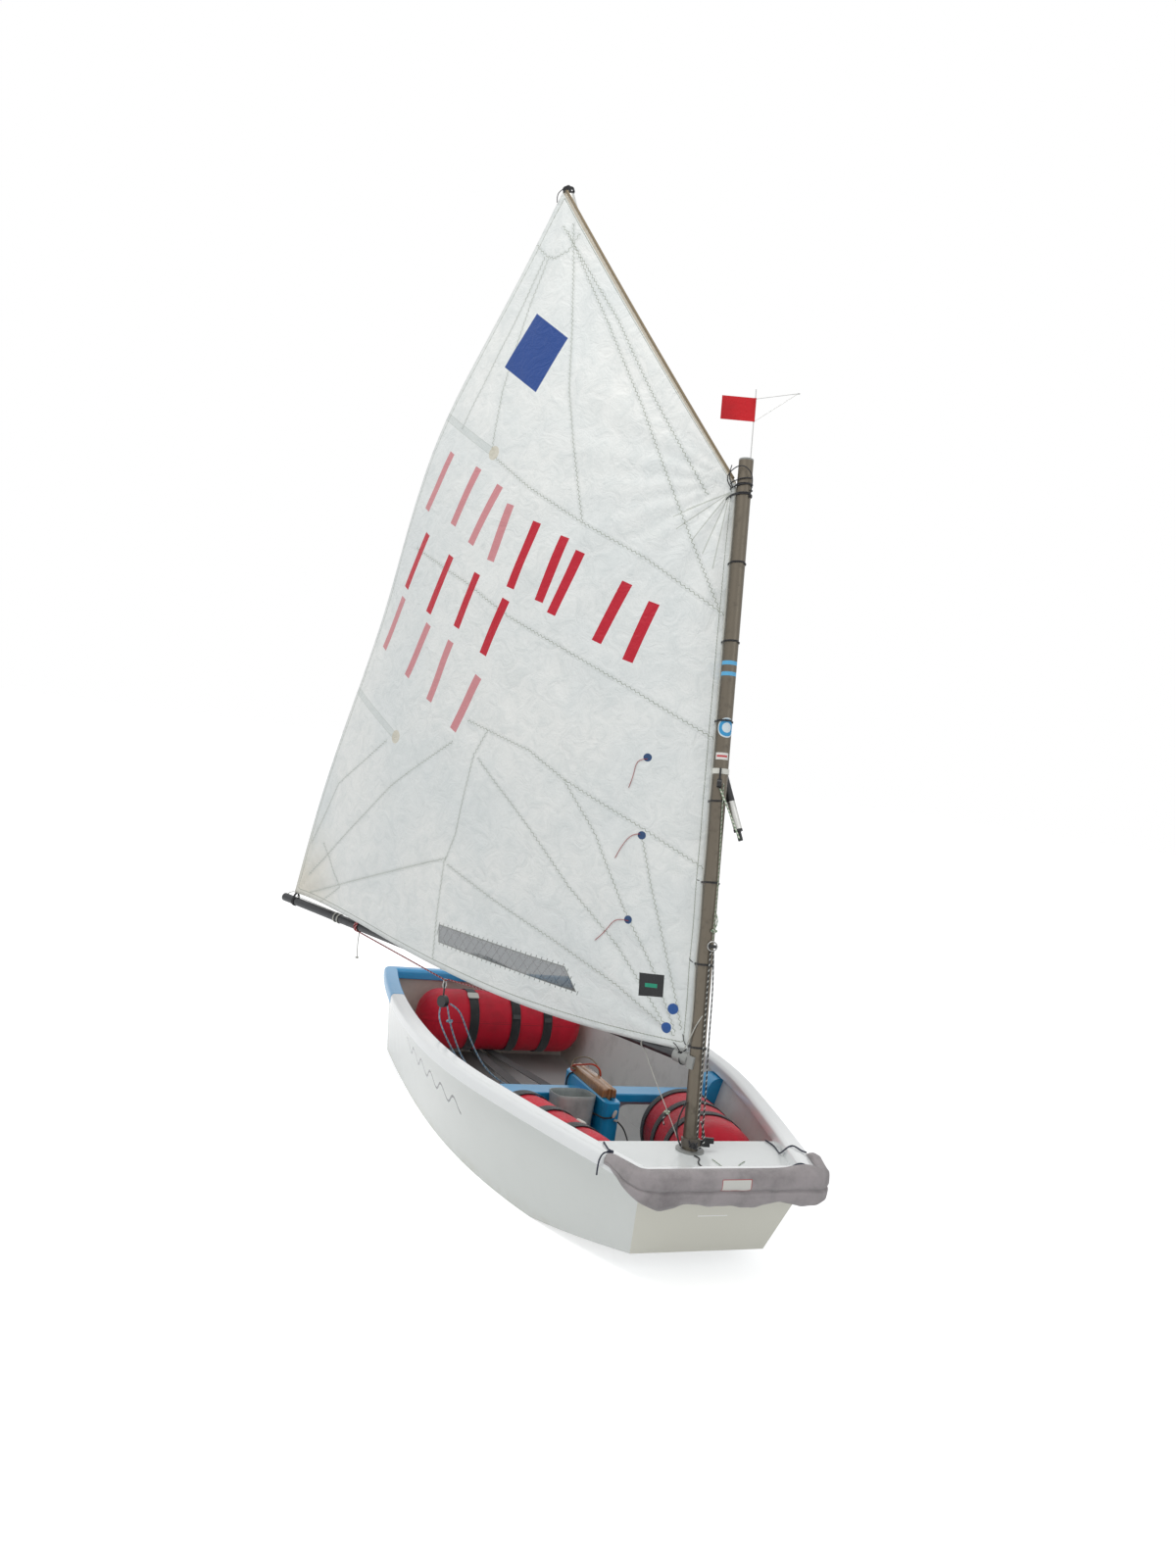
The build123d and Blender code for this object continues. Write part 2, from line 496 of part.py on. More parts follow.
# Sprit: passes the mast on its windward side and holds out the sail's peak
lean, twist = radians(sprit_lean), radians(sprit_twist)
sprit_way = Vector(sin(lean) * cos(twist), sin(lean) * sin(twist), cos(lean))
sprit_beside_mast = mast_d / 2 + strop_wall + soft_gap + sprit_d / 2
beside = Vector(sin(twist), -cos(twist), 0) * sprit_beside_mast + Vector(0, 0, sprit_height)
sprit_heel = beside - sprit_way * sprit_below_mast
sprit_tip = sprit_heel + sprit_way * sprit_length
sprit_fitting = 36.0
tube_low = sprit_heel + sprit_way * sprit_fitting
tube_high = sprit_tip - sprit_way * sprit_fitting
nodes["sprit_tube"] = rig * tube(sprit_d, sprit_wall, tube_low, tube_high)
ends = Part()
for tip, root, way in ((sprit_heel, tube_low, 1), (sprit_tip, tube_high, -1)):
    inside = root + sprit_way * way * plug_depth
    ends += rod(sprit_d - 2 * sprit_wall, root, inside) + rod(sprit_d, root - sprit_way * way * 8, root)
    ends += rod(heel_pin_d, tip, root)
nodes["sprit_ends"] = rig * ends

# Sail: a thin curved sheet between four corners
luff_x = mast_r + luff_gap
boom_slope = tan(radians(boom_rise))
clew_out = boom_length - clew_from_boom_end
tack = Vector(luff_x, 0, tack_up)
throat = Vector(luff_x, 0, throat_up)
clew = Vector(clew_out, 0, boom_height + clew_out * boom_slope + clew_above_boom)
peak = sprit_tip - sprit_way * peak_short + Vector(0, peak_to_leeward, 0)


leech_run = peak - clew
leech_out = Vector(leech_run.Z, 0, -leech_run.X).normalized()


def sail_section(share, leeward, up, roach, sag):
    """A strip from luff to leech: two arcs a cloth's thickness apart, in one plane."""
    luff = tack + (throat - tack) * share
    leech = clew + leech_run * share + leech_out * roach + Vector(0, sag, 0)
    belly = Vector(0, leeward, up)
    cloth = belly.normalized() * sail_sheet
    middle = (luff + leech) * 0.5 + belly
    near = ThreePointArc(luff, middle, leech)
    far = ThreePointArc(luff + cloth, middle + cloth, leech + cloth)
    return make_face([near, far, Line(luff, luff + cloth), Line(leech, leech + cloth)])


sail = loft([sail_section(*row) for row in sail_sections])
nodes["sail"] = rig * sail

# Luff ties round the mast, and corner ties on the boom
ties = Part()
for i in range(tie_count):
    z = tack_up + 14 + (throat_up - tack_up - 28) * i / (tie_count - 1)
    tie = Pos(0, 0, z) * loop(mast_d, tie_wall, tie_height, tie_sides)
    tongue = box((mast_r + 0.5, luff_x - soft_gap), (-3, 4), (z - tie_height / 2, z + tie_height / 2))
    ties += tie + tongue
nodes["luff_ties"] = rig * ties
corner = loop(boom_d, tie_wall, 10, tie_sides)
outhaul = boom * Pos(clew_out / cos(radians(boom_rise)) - 12, 0, 0) * Rot(0, 90, 0) * corner
loop_top = clew + Vector(-12, 0, -soft_gap - 12 * boom_slope)
outhaul += rod(5, loop_top - Vector(0, 0, clew_above_boom - boom_d / 2 - 1), loop_top)
nodes["clew_tie"] = rig * (outhaul - sail)

# Strop round the mast that the sprit leans on, with the block and line that hold up the sprit's heel
strop = ring(mast_d, strop_wall, strop_up - strop_height / 2, strop_up + strop_height / 2)
hanger = box((mast_r + 1, mast_r + 12), (-3, 3), (strop_up - 30, strop_up + strop_height / 2))
shell = rod(26, (mast_r + 15, -7, strop_up - 38), (mast_r + 15, 7, strop_up - 38))
block_place = Rot(0, 0, heel_block_turn)
line_top = (block_place * Pos(mast_r + 15, 0, strop_up - 46)).position
rise = line_top - sprit_heel
aside = (rise - sprit_way * rise.dot(sprit_way)).normalized()
line_foot = sprit_heel + sprit_way * 6 + aside * (heel_pin_d / 2 + heel_line_d / 2 + soft_gap)
heel_line = rod(heel_line_d, line_top, line_foot)
nodes["heel_block"] = rig * (block_place * (strop + hanger + shell) + heel_line)

# Main sheet bridle under the boom, with the block that hangs from it
bridle_low = Vector(bridle_low_out, 0, boom_height + bridle_low_out * boom_slope - bridle_drop)
bridle = Part()
for out in (bridle_aft, bridle_fore):
    band = boom * Pos(out, 0, 0) * Rot(0, 90, 0) * loop(boom_d, tie_wall, 10, tie_sides)
    foot = (boom * Pos(out, 0, -boom_d / 2 - bridle_d / 2 - soft_gap)).position
    bridle += band + rod(bridle_d, foot, bridle_low)
bridle += rod(bridle_d * 1.8, bridle_low - Vector(0, bridle_d, 0), bridle_low + Vector(0, bridle_d, 0))
nodes["sheet_bridle"] = rig * bridle
hang_z = bridle_low.Z - block_hang
block = rod(block_d, (bridle_low_out, -block_width / 2, hang_z), (bridle_low_out, block_width / 2, hang_z))
block += rod(6, (bridle_low_out, 0, hang_z), (bridle_low_out, 0, bridle_low.Z - bridle_d * 0.9 - soft_gap))
nodes["boom_block"] = rig * block

# Wind vane: a flag on a sleeve with two balance wires, free to turn on its stem
sleeve_play = 0.06
sleeve_low = mast_above_deck + flag_low
sleeve = Pos(-vane_off, 0, 0) * ring(stem_d + 2 * sleeve_play, 1.5, sleeve_low, sleeve_low + flag_height)
flag_way = Vector(cos(radians(flag_turn)), sin(radians(flag_turn)), 0)
flag = Pos(-vane_off, 0, sleeve_low) * Rot(0, 0, flag_turn) * box(
    (stem_d / 2 + 1.2, flag_length), (-flag_sheet / 2, flag_sheet / 2), (0, flag_height))
nodes["vane_flag"] = rig * (sleeve + flag)
arm_tip = Vector(-vane_off, 0, sleeve_low + flag_height + vane_arm_rise) - flag_way * vane_arm
arms = Part()
for up in (2.0, flag_height - 2.0):
    root = Vector(-vane_off, 0, sleeve_low + up) - flag_way * (stem_d / 2 + 1.9)
    arms += rod(vane_wire_d, root, arm_tip)
arms += rod(2 * vane_wire_d, arm_tip, arm_tip - flag_way * 3 * vane_wire_d)
nodes["vane_arms"] = rig * (arms - sleeve)

# Rudder, in a frame that leans with the stern transom
stern = Pos(stern_foot_x, 0, keel_z(stern_foot_x)) * Rot(0, degrees(atan2(stern_slope, 1)), 0)
lugs = Part()
pintles = Part()
lead_x = -pin_off - rudder_lead
for z in lug_z:
    lug = box((-plate_sheet, 0), (-plate_width / 2, plate_width / 2), (z - plate_height / 2, z + plate_height / 2))
    lug += box((-pin_off, -plate_sheet / 2), (-lug_r, lug_r), (z - lug_height / 2, z + lug_height / 2))
    lug += rod(2 * lug_r, (-pin_off, 0, z - lug_height / 2), (-pin_off, 0, z + lug_height / 2))
    lugs += lug - rod(pin_d + 2 * pin_play, (-pin_off, 0, z - 40), (-pin_off, 0, z + 40))
    low = z + lug_height / 2 + 1.0
    pintle = rod(2 * lug_r, (-pin_off, 0, low), (-pin_off, 0, low + pintle_height))
    pintle += rod(pin_d, (-pin_off, 0, z - lug_height / 2 - 6), (-pin_off, 0, low))
    pintle += box((lead_x - pintle_reach, -pin_off), (-rudder_sheet / 2 - pintle_strap,
                  rudder_sheet / 2 + pintle_strap), (low, low + pintle_height))
    pintle -= box((lead_x - 2 * pintle_reach, lead_x), (-rudder_sheet / 2, rudder_sheet / 2),
                  (low - 1, low + pintle_height + 1))
    pintles += pintle
nodes["rudder_lugs"] = (stern * lugs) - outside
nodes["rudder_pintles"] = stern * pintles

# Rudder blade: straight leading edge, fuller below the hull. Points are forward, up, corner radius.
blade_top = tiller_z - tiller_d / 2 - 6
blade_outline = ((lead_x, blade_top, 0), (lead_x, tip_fore_z, 60), (lead_x - tip_chord, tip_aft_z, 90),
                 (lead_x - blade_chord, full_z, 300), (lead_x - neck_chord, neck_z, 120),
                 (lead_x - neck_chord, blade_top, 0))
blade_points = [(x, z) for x, z, _ in blade_outline]
blade_face = make_face(Polyline(*blade_points, close=True))
for x, z, radius in blade_outline:
    if radius:
        blade_face = fillet(blade_face.vertices().sort_by_distance((x, z, 0))[0], radius)
blade = Plane.XZ.location * Pos(0, 0, -rudder_sheet / 2) * extrude(blade_face, rudder_sheet)
blade = chamfer(blade.faces().filter_by(Plane.XZ).edges(), board_bevel)
nodes["rudder_blade"] = stern * blade

# Rudder head, tiller and its extension
head = box((lead_x - head_x_long + 3, lead_x + 6), (-head_width / 2, head_width / 2), (head_low_z, head_high_z))
head = fillet(head.edges().filter_by(Axis.Y), 8)
pocket = box((lead_x - neck_chord - soft_gap, lead_x + soft_gap),
             (-rudder_sheet / 2 - 0.1, rudder_sheet / 2 + 0.1), (0, blade_top + soft_gap))
tiller_aft = lead_x - head_x_long + 20
tiller_fore = tiller_aft + tiller_length
head -= pocket + rod(tiller_d + 0.2, (tiller_aft - 0.2, 0, tiller_z), (tiller_fore, 0, tiller_z))
nodes["rudder_head"] = stern * head
nodes["tiller"] = stern * tube(tiller_d, tiller_wall, (tiller_aft, 0, tiller_z), (tiller_fore, 0, tiller_z))
extension_z = tiller_z + tiller_d / 2 + extension_d / 2 + 6
joint_x = tiller_fore - 22
extension = rod(extension_d, (joint_x - extension_length, 0, extension_z), (joint_x, 0, extension_z))
extension += Pos(joint_x, 0, extension_z) * Sphere(extension_d / 2)
saddle = box((joint_x - 14, joint_x + 14), (-9, 9), (tiller_z, extension_z))
extension += saddle - rod(tiller_d + 0.2, (0, 0, tiller_z), (tiller_fore + 10, 0, tiller_z))
nodes["tiller_extension"] = stern * extension

for name, shape in nodes.items():
    export_step(shape, f"parts/{name}.step")
print(len(nodes), "nodes written")
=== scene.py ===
import bmesh
import bpy
import numpy as np
from mathutils import Matrix


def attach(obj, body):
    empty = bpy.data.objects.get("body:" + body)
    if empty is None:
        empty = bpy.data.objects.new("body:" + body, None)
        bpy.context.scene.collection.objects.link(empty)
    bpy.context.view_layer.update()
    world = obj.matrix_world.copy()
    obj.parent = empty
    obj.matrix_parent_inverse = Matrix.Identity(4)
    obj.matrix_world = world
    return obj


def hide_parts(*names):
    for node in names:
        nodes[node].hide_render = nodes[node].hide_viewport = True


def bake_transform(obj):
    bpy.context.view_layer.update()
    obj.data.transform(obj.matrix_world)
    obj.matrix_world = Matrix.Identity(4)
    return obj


# A small pram dinghy under a spritsail. Metres; +X to the bow, +Y to port, +Z up, origin on the waterline.
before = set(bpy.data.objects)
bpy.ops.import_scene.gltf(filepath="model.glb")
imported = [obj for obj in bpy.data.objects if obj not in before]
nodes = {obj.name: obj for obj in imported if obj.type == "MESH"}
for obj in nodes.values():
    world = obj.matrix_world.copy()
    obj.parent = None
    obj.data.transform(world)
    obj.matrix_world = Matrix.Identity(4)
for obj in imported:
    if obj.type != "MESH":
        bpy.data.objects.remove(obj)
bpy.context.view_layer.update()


# Camera: seen from above the starboard bow, upright format, with the mast on the right.
# It leans by the boat's heel and trim in the picture, so that the boat stands level here.
eye = np.array([3.9617052, -1.7624656, 1.4967362])
eye_right = np.array([0.3745718, 0.9162157, 0.1422842])
eye_up = np.array([-0.0976873, -0.1136055, 0.9887118])
lens = bpy.data.cameras.new("view")
lens.sensor_fit = "VERTICAL"
lens.sensor_height = 36.0
focal_length, picture_height = 1248.87, 1600
lens.lens = 36.0 * focal_length / picture_height
lens.clip_end = 200
camera = bpy.data.objects.new("view", lens)
turn = Matrix(np.column_stack([eye_right, eye_up, np.cross(eye_right, eye_up)]).tolist())
camera.matrix_world = Matrix.Translation(eye.tolist()) @ turn.to_4x4()
bpy.context.scene.collection.objects.link(camera)
bpy.context.scene.camera = camera
bpy.context.scene.view_settings.view_transform = "Standard"


# Floor at the waterline: a wide pale sheet that keeps the boat's shadow
# and shows white to the eye, with a white sky above it. Its opening runs
# inside the hull's thickness, so that the boat's own floor stays in sight.
class Socket:
    """One output of a node. Arithmetic on it adds Math nodes beside it."""

    def __init__(self, paint, socket):
        self.paint = paint
        self.socket = socket

    def math(self, operation, *values):
        return self.paint.node("ShaderNodeMath", {"operation": operation}, dict(enumerate(values)))

    def output(self, number):
        return Socket(self.paint, self.socket.node.outputs[number])

    def __add__(self, other):
        return self.math("ADD", self, other)

    def __radd__(self, other):
        return self.math("ADD", other, self)

    def __sub__(self, other):
        return self.math("SUBTRACT", self, other)

    def __rsub__(self, other):
        return self.math("SUBTRACT", other, self)

    def __mul__(self, other):
        return self.math("MULTIPLY", self, other)

    def __rmul__(self, other):
        return self.math("MULTIPLY", other, self)

    def __truediv__(self, other):
        return self.math("DIVIDE", self, other)

    def __mod__(self, other):
        return self.math("FLOORED_MODULO", self, other)

    def __lt__(self, other):
        return self.math("LESS_THAN", self, other)

    def __gt__(self, other):
        return self.math("GREATER_THAN", self, other)

    def __abs__(self):
        return self.math("ABSOLUTE", self)

    def sine(self):
        return self.math("SINE", self)

    def larger(self, other):
        return self.math("MAXIMUM", self, other)

    def smaller(self, other):
        return self.math("MINIMUM", self, other)

    def rise(self, low, high):
        """A soft step: 0 up to low, 1 from high on."""
        return self.paint.node("ShaderNodeMapRange", {"interpolation_type": "SMOOTHSTEP"},
                               {"Value": self, "From Min": low, "From Max": high})


def colour(red, green, blue):
    """A colour as it looks on a screen, 0 to 255, as the linear values that a shader takes."""
    share = np.array([red, green, blue]) / 255
    linear = np.where(share < 0.04045, share / 12.92, ((share + 0.055) / 1.055) ** 2.4)
    return tuple(linear.tolist()) + (1.0,)


class Paint:
    """A finish: its surface shader's fixed values, and node(), which adds any other node of its pattern."""

    def __init__(self, name, tree=None, **fixed):
        if tree is None:
            self.material = bpy.data.materials.new(name)
            self.material.use_nodes = True
            tree = self.material.node_tree
        self.tree = tree
        self.surface = tree.nodes.get("Principled BSDF")
        for socket, value in fixed.items():
            self.surface.inputs[socket.replace("_", " ")].default_value = value

    def node(self, kind, settings=None, sockets=None, output=0):
        made = self.tree.nodes.new(kind)
        for name, value in (settings or {}).items():
            setattr(made, name, value)
        for key, value in (sockets or {}).items():
            self.feed(made.inputs[key], value)
        return Socket(self, made.outputs[output])

    def feed(self, entry, value):
        """Links a node's entry to an output, or sets it."""
        if isinstance(value, Socket):
            self.tree.links.new(value.socket, entry)
        else:
            entry.default_value = value

    def place(self, scale=(1.0, 1.0, 1.0), turned=(0.0, 0.0, 0.0)):
        """The object's own coordinates, in metres, turned and stretched."""
        here = self.node("ShaderNodeTexCoord", output=3)
        if scale == (1.0, 1.0, 1.0) and turned == (0.0, 0.0, 0.0):
            return here
        return self.node("ShaderNodeMapping", None, {"Vector": here, "Rotation": turned, "Scale": scale})

    def pattern(self):
        """The piece's laid-out coordinates, in metres."""
        return self.node("ShaderNodeUVMap", {"uv_map": "pattern"})

    def along(self, direction, start=(0.0, 0.0, 0.0)):
        """How far a point lies from start along a direction, in metres."""
        direction = np.array(direction, float)
        found = self.node("ShaderNodeVectorMath", {"operation": "DOT_PRODUCT"},
                          {0: self.place(), 1: tuple(direction.tolist())}, output=1)
        return found - float(direction @ np.array(start, float))

    def from_point(self, flat, middle):
        """How far a point of the laid-out coordinates lies from another."""
        return self.node("ShaderNodeVectorMath", {"operation": "DISTANCE"}, {0: flat, 1: (*middle, 0.0)},
                         output=1)

    def axes(self, vector):
        """A vector's three parts."""
        first = self.node("ShaderNodeSeparateXYZ", None, {0: vector})
        return first, first.output(1), first.output(2)

    def noise(self, vector, scale, detail=2.0, rough=0.5, twist=0.0):
        return self.node("ShaderNodeTexNoise", None, {
            "Vector": vector, "Scale": scale, "Detail": detail, "Roughness": rough, "Distortion": twist})

    def mix(self, factor, first, second):
        return self.node("ShaderNodeMix", {"data_type": "RGBA", "clamp_factor": True},
                         {0: factor, 6: first, 7: second}, output=2)

    def finish(self, base, rough=None, height=None, depth=0.001, **others):
        """Feeds what varies over the surface; height is in units of depth, which is in metres."""
        self.base = base
        feeds = {"Base Color": base, "Roughness": rough}
        feeds.update({name.replace("_", " "): value for name, value in others.items()})
        if height is not None:
            bump = {"Strength": 1.0, "Distance": depth, "Height": height}
            feeds["Normal"] = self.node("ShaderNodeBump", None, bump)
        for name, value in feeds.items():
            if value is not None:
                self.feed(self.surface.inputs[name], value)

    def over(self, mask, shade, **others):
        """Lays a colour over the finish where the mask is 1."""
        self.finish(self.mix(mask, self.base, shade), **others)

    def seen(self):
        """1 on what meets the eye, straight, mirrored or through clear plastic, 0 on all other light."""
        ray = self.node("ShaderNodeLightPath")
        return ray.larger(ray.output(3)).larger(ray.output(6))


def unit(vector):
    """A direction, its length brought to 1."""
    return vector / np.linalg.norm(vector)


stations = [-1.0915, -0.98, -0.858, -0.737, -0.616, -0.494, -0.373, -0.251,
            -0.13, -0.009, 0.113, 0.234, 0.355, 0.477, 0.555]
half_breadths = [0.400, 0.4107, 0.4208, 0.430, 0.438, 0.4448, 0.4493, 0.4513,
                 0.4506, 0.446, 0.4372, 0.4234, 0.4037, 0.3787, 0.360]
floor_reach = 42.0
along = np.linspace(stations[0], stations[-1], 60)
half_breadth = np.interp(along, stations, half_breadths)
opening = np.r_[np.c_[along, half_breadth], np.c_[along, -half_breadth][::-1]]
far = opening / np.linalg.norm(opening, axis=1)[:, None] * floor_reach
step = np.arange(len(opening))
after = (step + 1) % len(opening)
sheet_faces = np.c_[step, after, len(opening) + after, len(opening) + step]
sheet_mesh = bpy.data.meshes.new("floor")
sheet_points = np.pad(np.r_[opening, far], ((0, 0), (0, 1)))
sheet_mesh.from_pydata(sheet_points.tolist(), [], sheet_faces.tolist())
floor = bpy.data.objects.new("floor", sheet_mesh)
bpy.context.collection.objects.link(floor)
floor_paint = Paint("pale floor", Roughness=0.9)
floor_paint.surface.inputs["Base Color"].default_value = (0.80, 0.81, 0.82, 1)
floor_paint.surface.inputs["Emission Color"].default_value = (1, 1, 1, 1)
floor_paint.feed(floor_paint.surface.inputs["Emission Strength"], floor_paint.seen() * 0.62)
floor.data.materials.append(floor_paint.material)

sky = bpy.data.worlds.new("sky")
sky.use_nodes = True
bpy.context.scene.world = sky
air = Paint("sky", sky.node_tree)
back = sky.node_tree.nodes["Background"]
air.feed(back.inputs["Strength"], air.seen() * 0.42 + 0.58)
back.inputs["Color"].default_value = (1, 1, 1, 1)


# Light: a broad lamp high to starboard and a weak one ahead to port,
# beside the even light of the white sky.
def lamp(name, place, target, size, power, tint):
    """A round lamp at a place, turned to its target."""
    light = bpy.data.lights.new(name, "AREA")
    light.shape = "DISK"
    light.size = size
    light.energy = power
    light.color = tint
    made = bpy.data.objects.new(name, light)
    away = unit(np.array(place) - np.array(target))
    side = unit(np.cross((0, 0, 1), away))
    basis = Matrix(np.column_stack([side, np.cross(away, side), away]).tolist())
    made.matrix_world = Matrix.Translation(place) @ basis.to_4x4()
    bpy.context.scene.collection.objects.link(made)


lamp("high_light", (1.6, -3.0, 7.0), (-0.2, -0.3, 0.9), 4.0, 170, (1.0, 0.985, 0.96))
lamp("fore_light", (6.0, 2.5, 4.0), (0.0, 0.0, 0.6), 4.0, 30, (0.93, 0.97, 1.0))


# Hull shell: moulded glass fibre, light grey gelcoat outside with a faint film
# at the waterline and a painted beige shade tint on the bow transom, and a duller grey inside,
# beige at the stern and painted darker where it faces up, as painted shade.
def tinted(shade, share, lift=0.0):
    """A colour made darker or paler: each channel times a share, plus a lift."""
    return tuple(channel * share + lift for channel in shade[:3]) + (1.0,)


def gelcoat(name, shade, rough, dirt=0.06):
    """Gelcoat: a glossy colour with slow mottling, fine specks, thin scratches and a slight orange peel."""
    coat = Paint(name, IOR=1.5, Coat_Weight=0.25, Coat_Roughness=0.12)
    here = coat.place()
    mottle = coat.noise(here, 5.0, 5.0, 0.6)
    grit = coat.noise(here, 180.0, 2.0)
    scratch = coat.noise(coat.place(scale=(3.0, 22.0, 3.0), turned=(0.3, 0.5, 0.9)), 6.0, 3.0, 0.6, 1.2)
    line = (abs(scratch - 0.5) < 0.0025) * (mottle > 0.52)
    marked = (1 - (mottle - 0.5).larger(0.0) * dirt * 3) - line * 0.10 - (grit > 0.66) * 0.03
    base = coat.mix(marked, tinted(shade, 0.55), shade)
    coat.finish(base, mottle * 0.12 + rough - 0.05 + line * 0.25, coat.noise(here, 95.0, 1.0), 0.00015)
    return coat, base, here


shell, shell_base, here = gelcoat("hull_gelcoat", colour(219, 223, 220), 0.20)
along, across, up = shell.axes(here)
facing = shell.axes(shell.node("ShaderNodeTexCoord", output=1))
outward = facing[0] * along / 1.1 + facing[1] * across / 0.45 + facing[2] * (up - 0.2) * 2.5
inside = outward < 0.0
lining = shell.mix((along + 1.0).rise(0.02, 0.14), colour(204, 196, 186), colour(220, 221, 219))
wear = shell.noise(here, 14.0, 6.0, 0.65)
lining = shell.mix((wear - 0.5).larger(0.0) * 1.2, lining, colour(150, 152, 148))
# Inner faces turned upward are painted a darker grey: painted shade.
lining = shell.mix((facing[2] > 0.7) * 0.8, lining, colour(184, 185, 185))
film = (1 - up.rise(-0.01, 0.05)) * (wear.rise(0.35, 0.75)) * 0.35
outer = shell.mix(film, shell_base, colour(176, 172, 140))
bow_face = (facing[0] > 0.75) * (1 - inside)
# The outer face of the bow transom, found by its facing, is tinted beige: a painted shade tint.
outer = shell.mix(bow_face * 0.75, outer, colour(222, 219, 203))
wave = (along * (2 * np.pi / 0.115)).sine() * 0.018 + 0.204 - along * 0.05
name_place = (across < 0.0) * (abs(along + 0.12) < 0.32) * (abs(up - wave) < 0.0045) * (1 - inside)
outer = shell.mix(name_place * 0.85, outer, colour(58, 62, 70))
scratch = bow_face * (abs(up - 0.1985) < 0.0016) * (abs(across) < 0.047)
outer = shell.mix(scratch, outer, colour(250, 250, 248))
shell.finish(shell.mix(inside, outer, lining), inside * 0.28 + 0.18 + wear * 0.08)


def dress(node, paint):
    """Gives a carried-over part its finish."""
    nodes[node].data.materials.clear()
    nodes[node].data.materials.append(paint.material)


dress("hull_shell", shell)


# Rail: a round-edged moulding over the skin's edge, white from the bow
# and light blue round the stern, the two butted together.
half_length, half_beam, widest = 1.150, 0.567, -0.130
aft_arc, middle_arc, fore_arc = 4.520, 2.160, 11.700
fore_arc_x, corner_radius = 0.400, 0.040


def rail_half(x, inset):
    """Half breadth of the rail: three tangent arcs, each radius less by the inset."""
    turned = np.arcsin((fore_arc_x - widest) / middle_arc)
    centre_x = fore_arc_x - fore_arc * np.sin(turned)
    centre_y = half_beam - middle_arc + (middle_arc - fore_arc) * np.cos(turned)
    aft = half_beam - aft_arc + np.sqrt((aft_arc - inset) ** 2 - (x - widest) ** 2)
    middle = half_beam - middle_arc + np.sqrt((middle_arc - inset) ** 2 - (x - widest) ** 2)
    fore = centre_y + np.sqrt((fore_arc - inset) ** 2 - (x - centre_x) ** 2)
    return np.where(x < widest, aft, np.where(x < fore_arc_x, middle, fore))


def rounded(corner, first, last, radius, steps):
    """The arc that rounds off a corner: evenly turned points of the circle that touches both of the edges
    that leave the corner in the first and the last direction."""
    between = np.arccos(np.clip(first @ last, -1, 1))
    centre = corner + unit(first + last) * radius / np.sin(between / 2)
    reach = radius / np.tan(between / 2)
    one = (corner + first * reach - centre) / radius
    two = (corner + last * reach - centre) / radius
    angle = np.arccos(np.clip(one @ two, -1, 1))
    share = np.linspace(0, 1, steps)[:, None]
    swept = np.sin((1 - share) * angle) * one + np.sin(share * angle) * two
    return centre + radius * swept / np.sin(angle)


def rail_end(inset, end, from_x, steps):
    """One side's line from the centre of a transom, round its corner and along the side to from_x."""
    x_end = end * (half_length - inset)
    corner = np.array([x_end, float(rail_half(np.array(x_end), inset))])
    inner = np.array([x_end - end * 0.02, float(rail_half(np.array(x_end - end * 0.02), inset))])
    to_middle = np.array([0.0, -1.0])
    bend = rounded(corner, to_middle, unit(inner - corner), max(corner_radius - inset, 0.006), 13)
    flat_y = np.linspace(0, bend[0, 1], 10)[:-1]
    flat = np.column_stack([np.full(9, x_end), flat_y])
    side_x = np.linspace(bend[-1, 0], from_x, steps + 1)[1:]
    side = np.column_stack([side_x, rail_half(side_x, inset)])
    return np.vstack([flat, bend, side])


def rail_line(inset, end, from_x, steps):
    """Both sides' lines joined over the transom, from the starboard side to the port side."""
    port = rail_end(inset, end, from_x, steps)
    return np.vstack([port[:0:-1] * (1, -1), port])


def grid(rows, columns):
    """Corner numbers of the four-sided faces of a grid."""
    number = np.arange(rows * columns).reshape(rows, columns)
    return np.stack([number[:-1, :-1], number[:-1, 1:], number[1:, 1:], number[1:, :-1]], -1).reshape(-1, 4)


def surface(name, body, points, paint, around=False, capped=False, pattern=None, smooth=True):
    """Makes a piece from a grid of points[row, column]. around joins the last column to the first, capped
    closes the first and last rows, and pattern holds its laid-out coordinates, in metres."""
    rows, columns = points.shape[:2]
    number = np.arange(rows * columns).reshape(rows, columns)
    if around:
        number = np.hstack([number, number[:, :1]])
    corners = grid(*number.shape)
    faces = number.reshape(-1)[corners].tolist()
    if pattern is None:
        closed = np.hstack([points, points[:, :1]]) if around else points
        down = np.linalg.norm(np.diff(closed, axis=0), axis=2).cumsum(0)
        over = np.linalg.norm(np.diff(closed, axis=1), axis=2).cumsum(1)
        down = np.vstack([np.zeros((1, closed.shape[1])), down])
        over = np.hstack([np.zeros((rows, 1)), over])
        pattern = np.stack([over, np.broadcast_to(down.mean(1, keepdims=True), over.shape)], -1)
    flat = pattern.reshape(-1, 2)[corners].reshape(-1, 2)
    if capped:
        faces += [number[0, :columns].tolist(), number[-1, :columns].tolist()]
        flat = np.vstack([flat, np.zeros((2 * columns, 2))])
    mesh = bpy.data.meshes.new(name)
    mesh.from_pydata(points.reshape(-1, 3).tolist(), [], faces)
    mesh.uv_layers.new(name="pattern").data.foreach_set("uv", flat.astype(np.float32).reshape(-1))
    if around:
        work = bmesh.new()
        work.from_mesh(mesh)
        bmesh.ops.remove_doubles(work, verts=work.verts, dist=1e-6)
        bmesh.ops.recalc_face_normals(work, faces=work.faces)
        work.to_mesh(mesh)
        work.free()
    if smooth:
        mesh.shade_smooth()
    made = bpy.data.objects.new(name, mesh)
    bpy.context.scene.collection.objects.link(made)
    made.data.materials.append(paint.material)
    if body:
        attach(made, body)
    return made


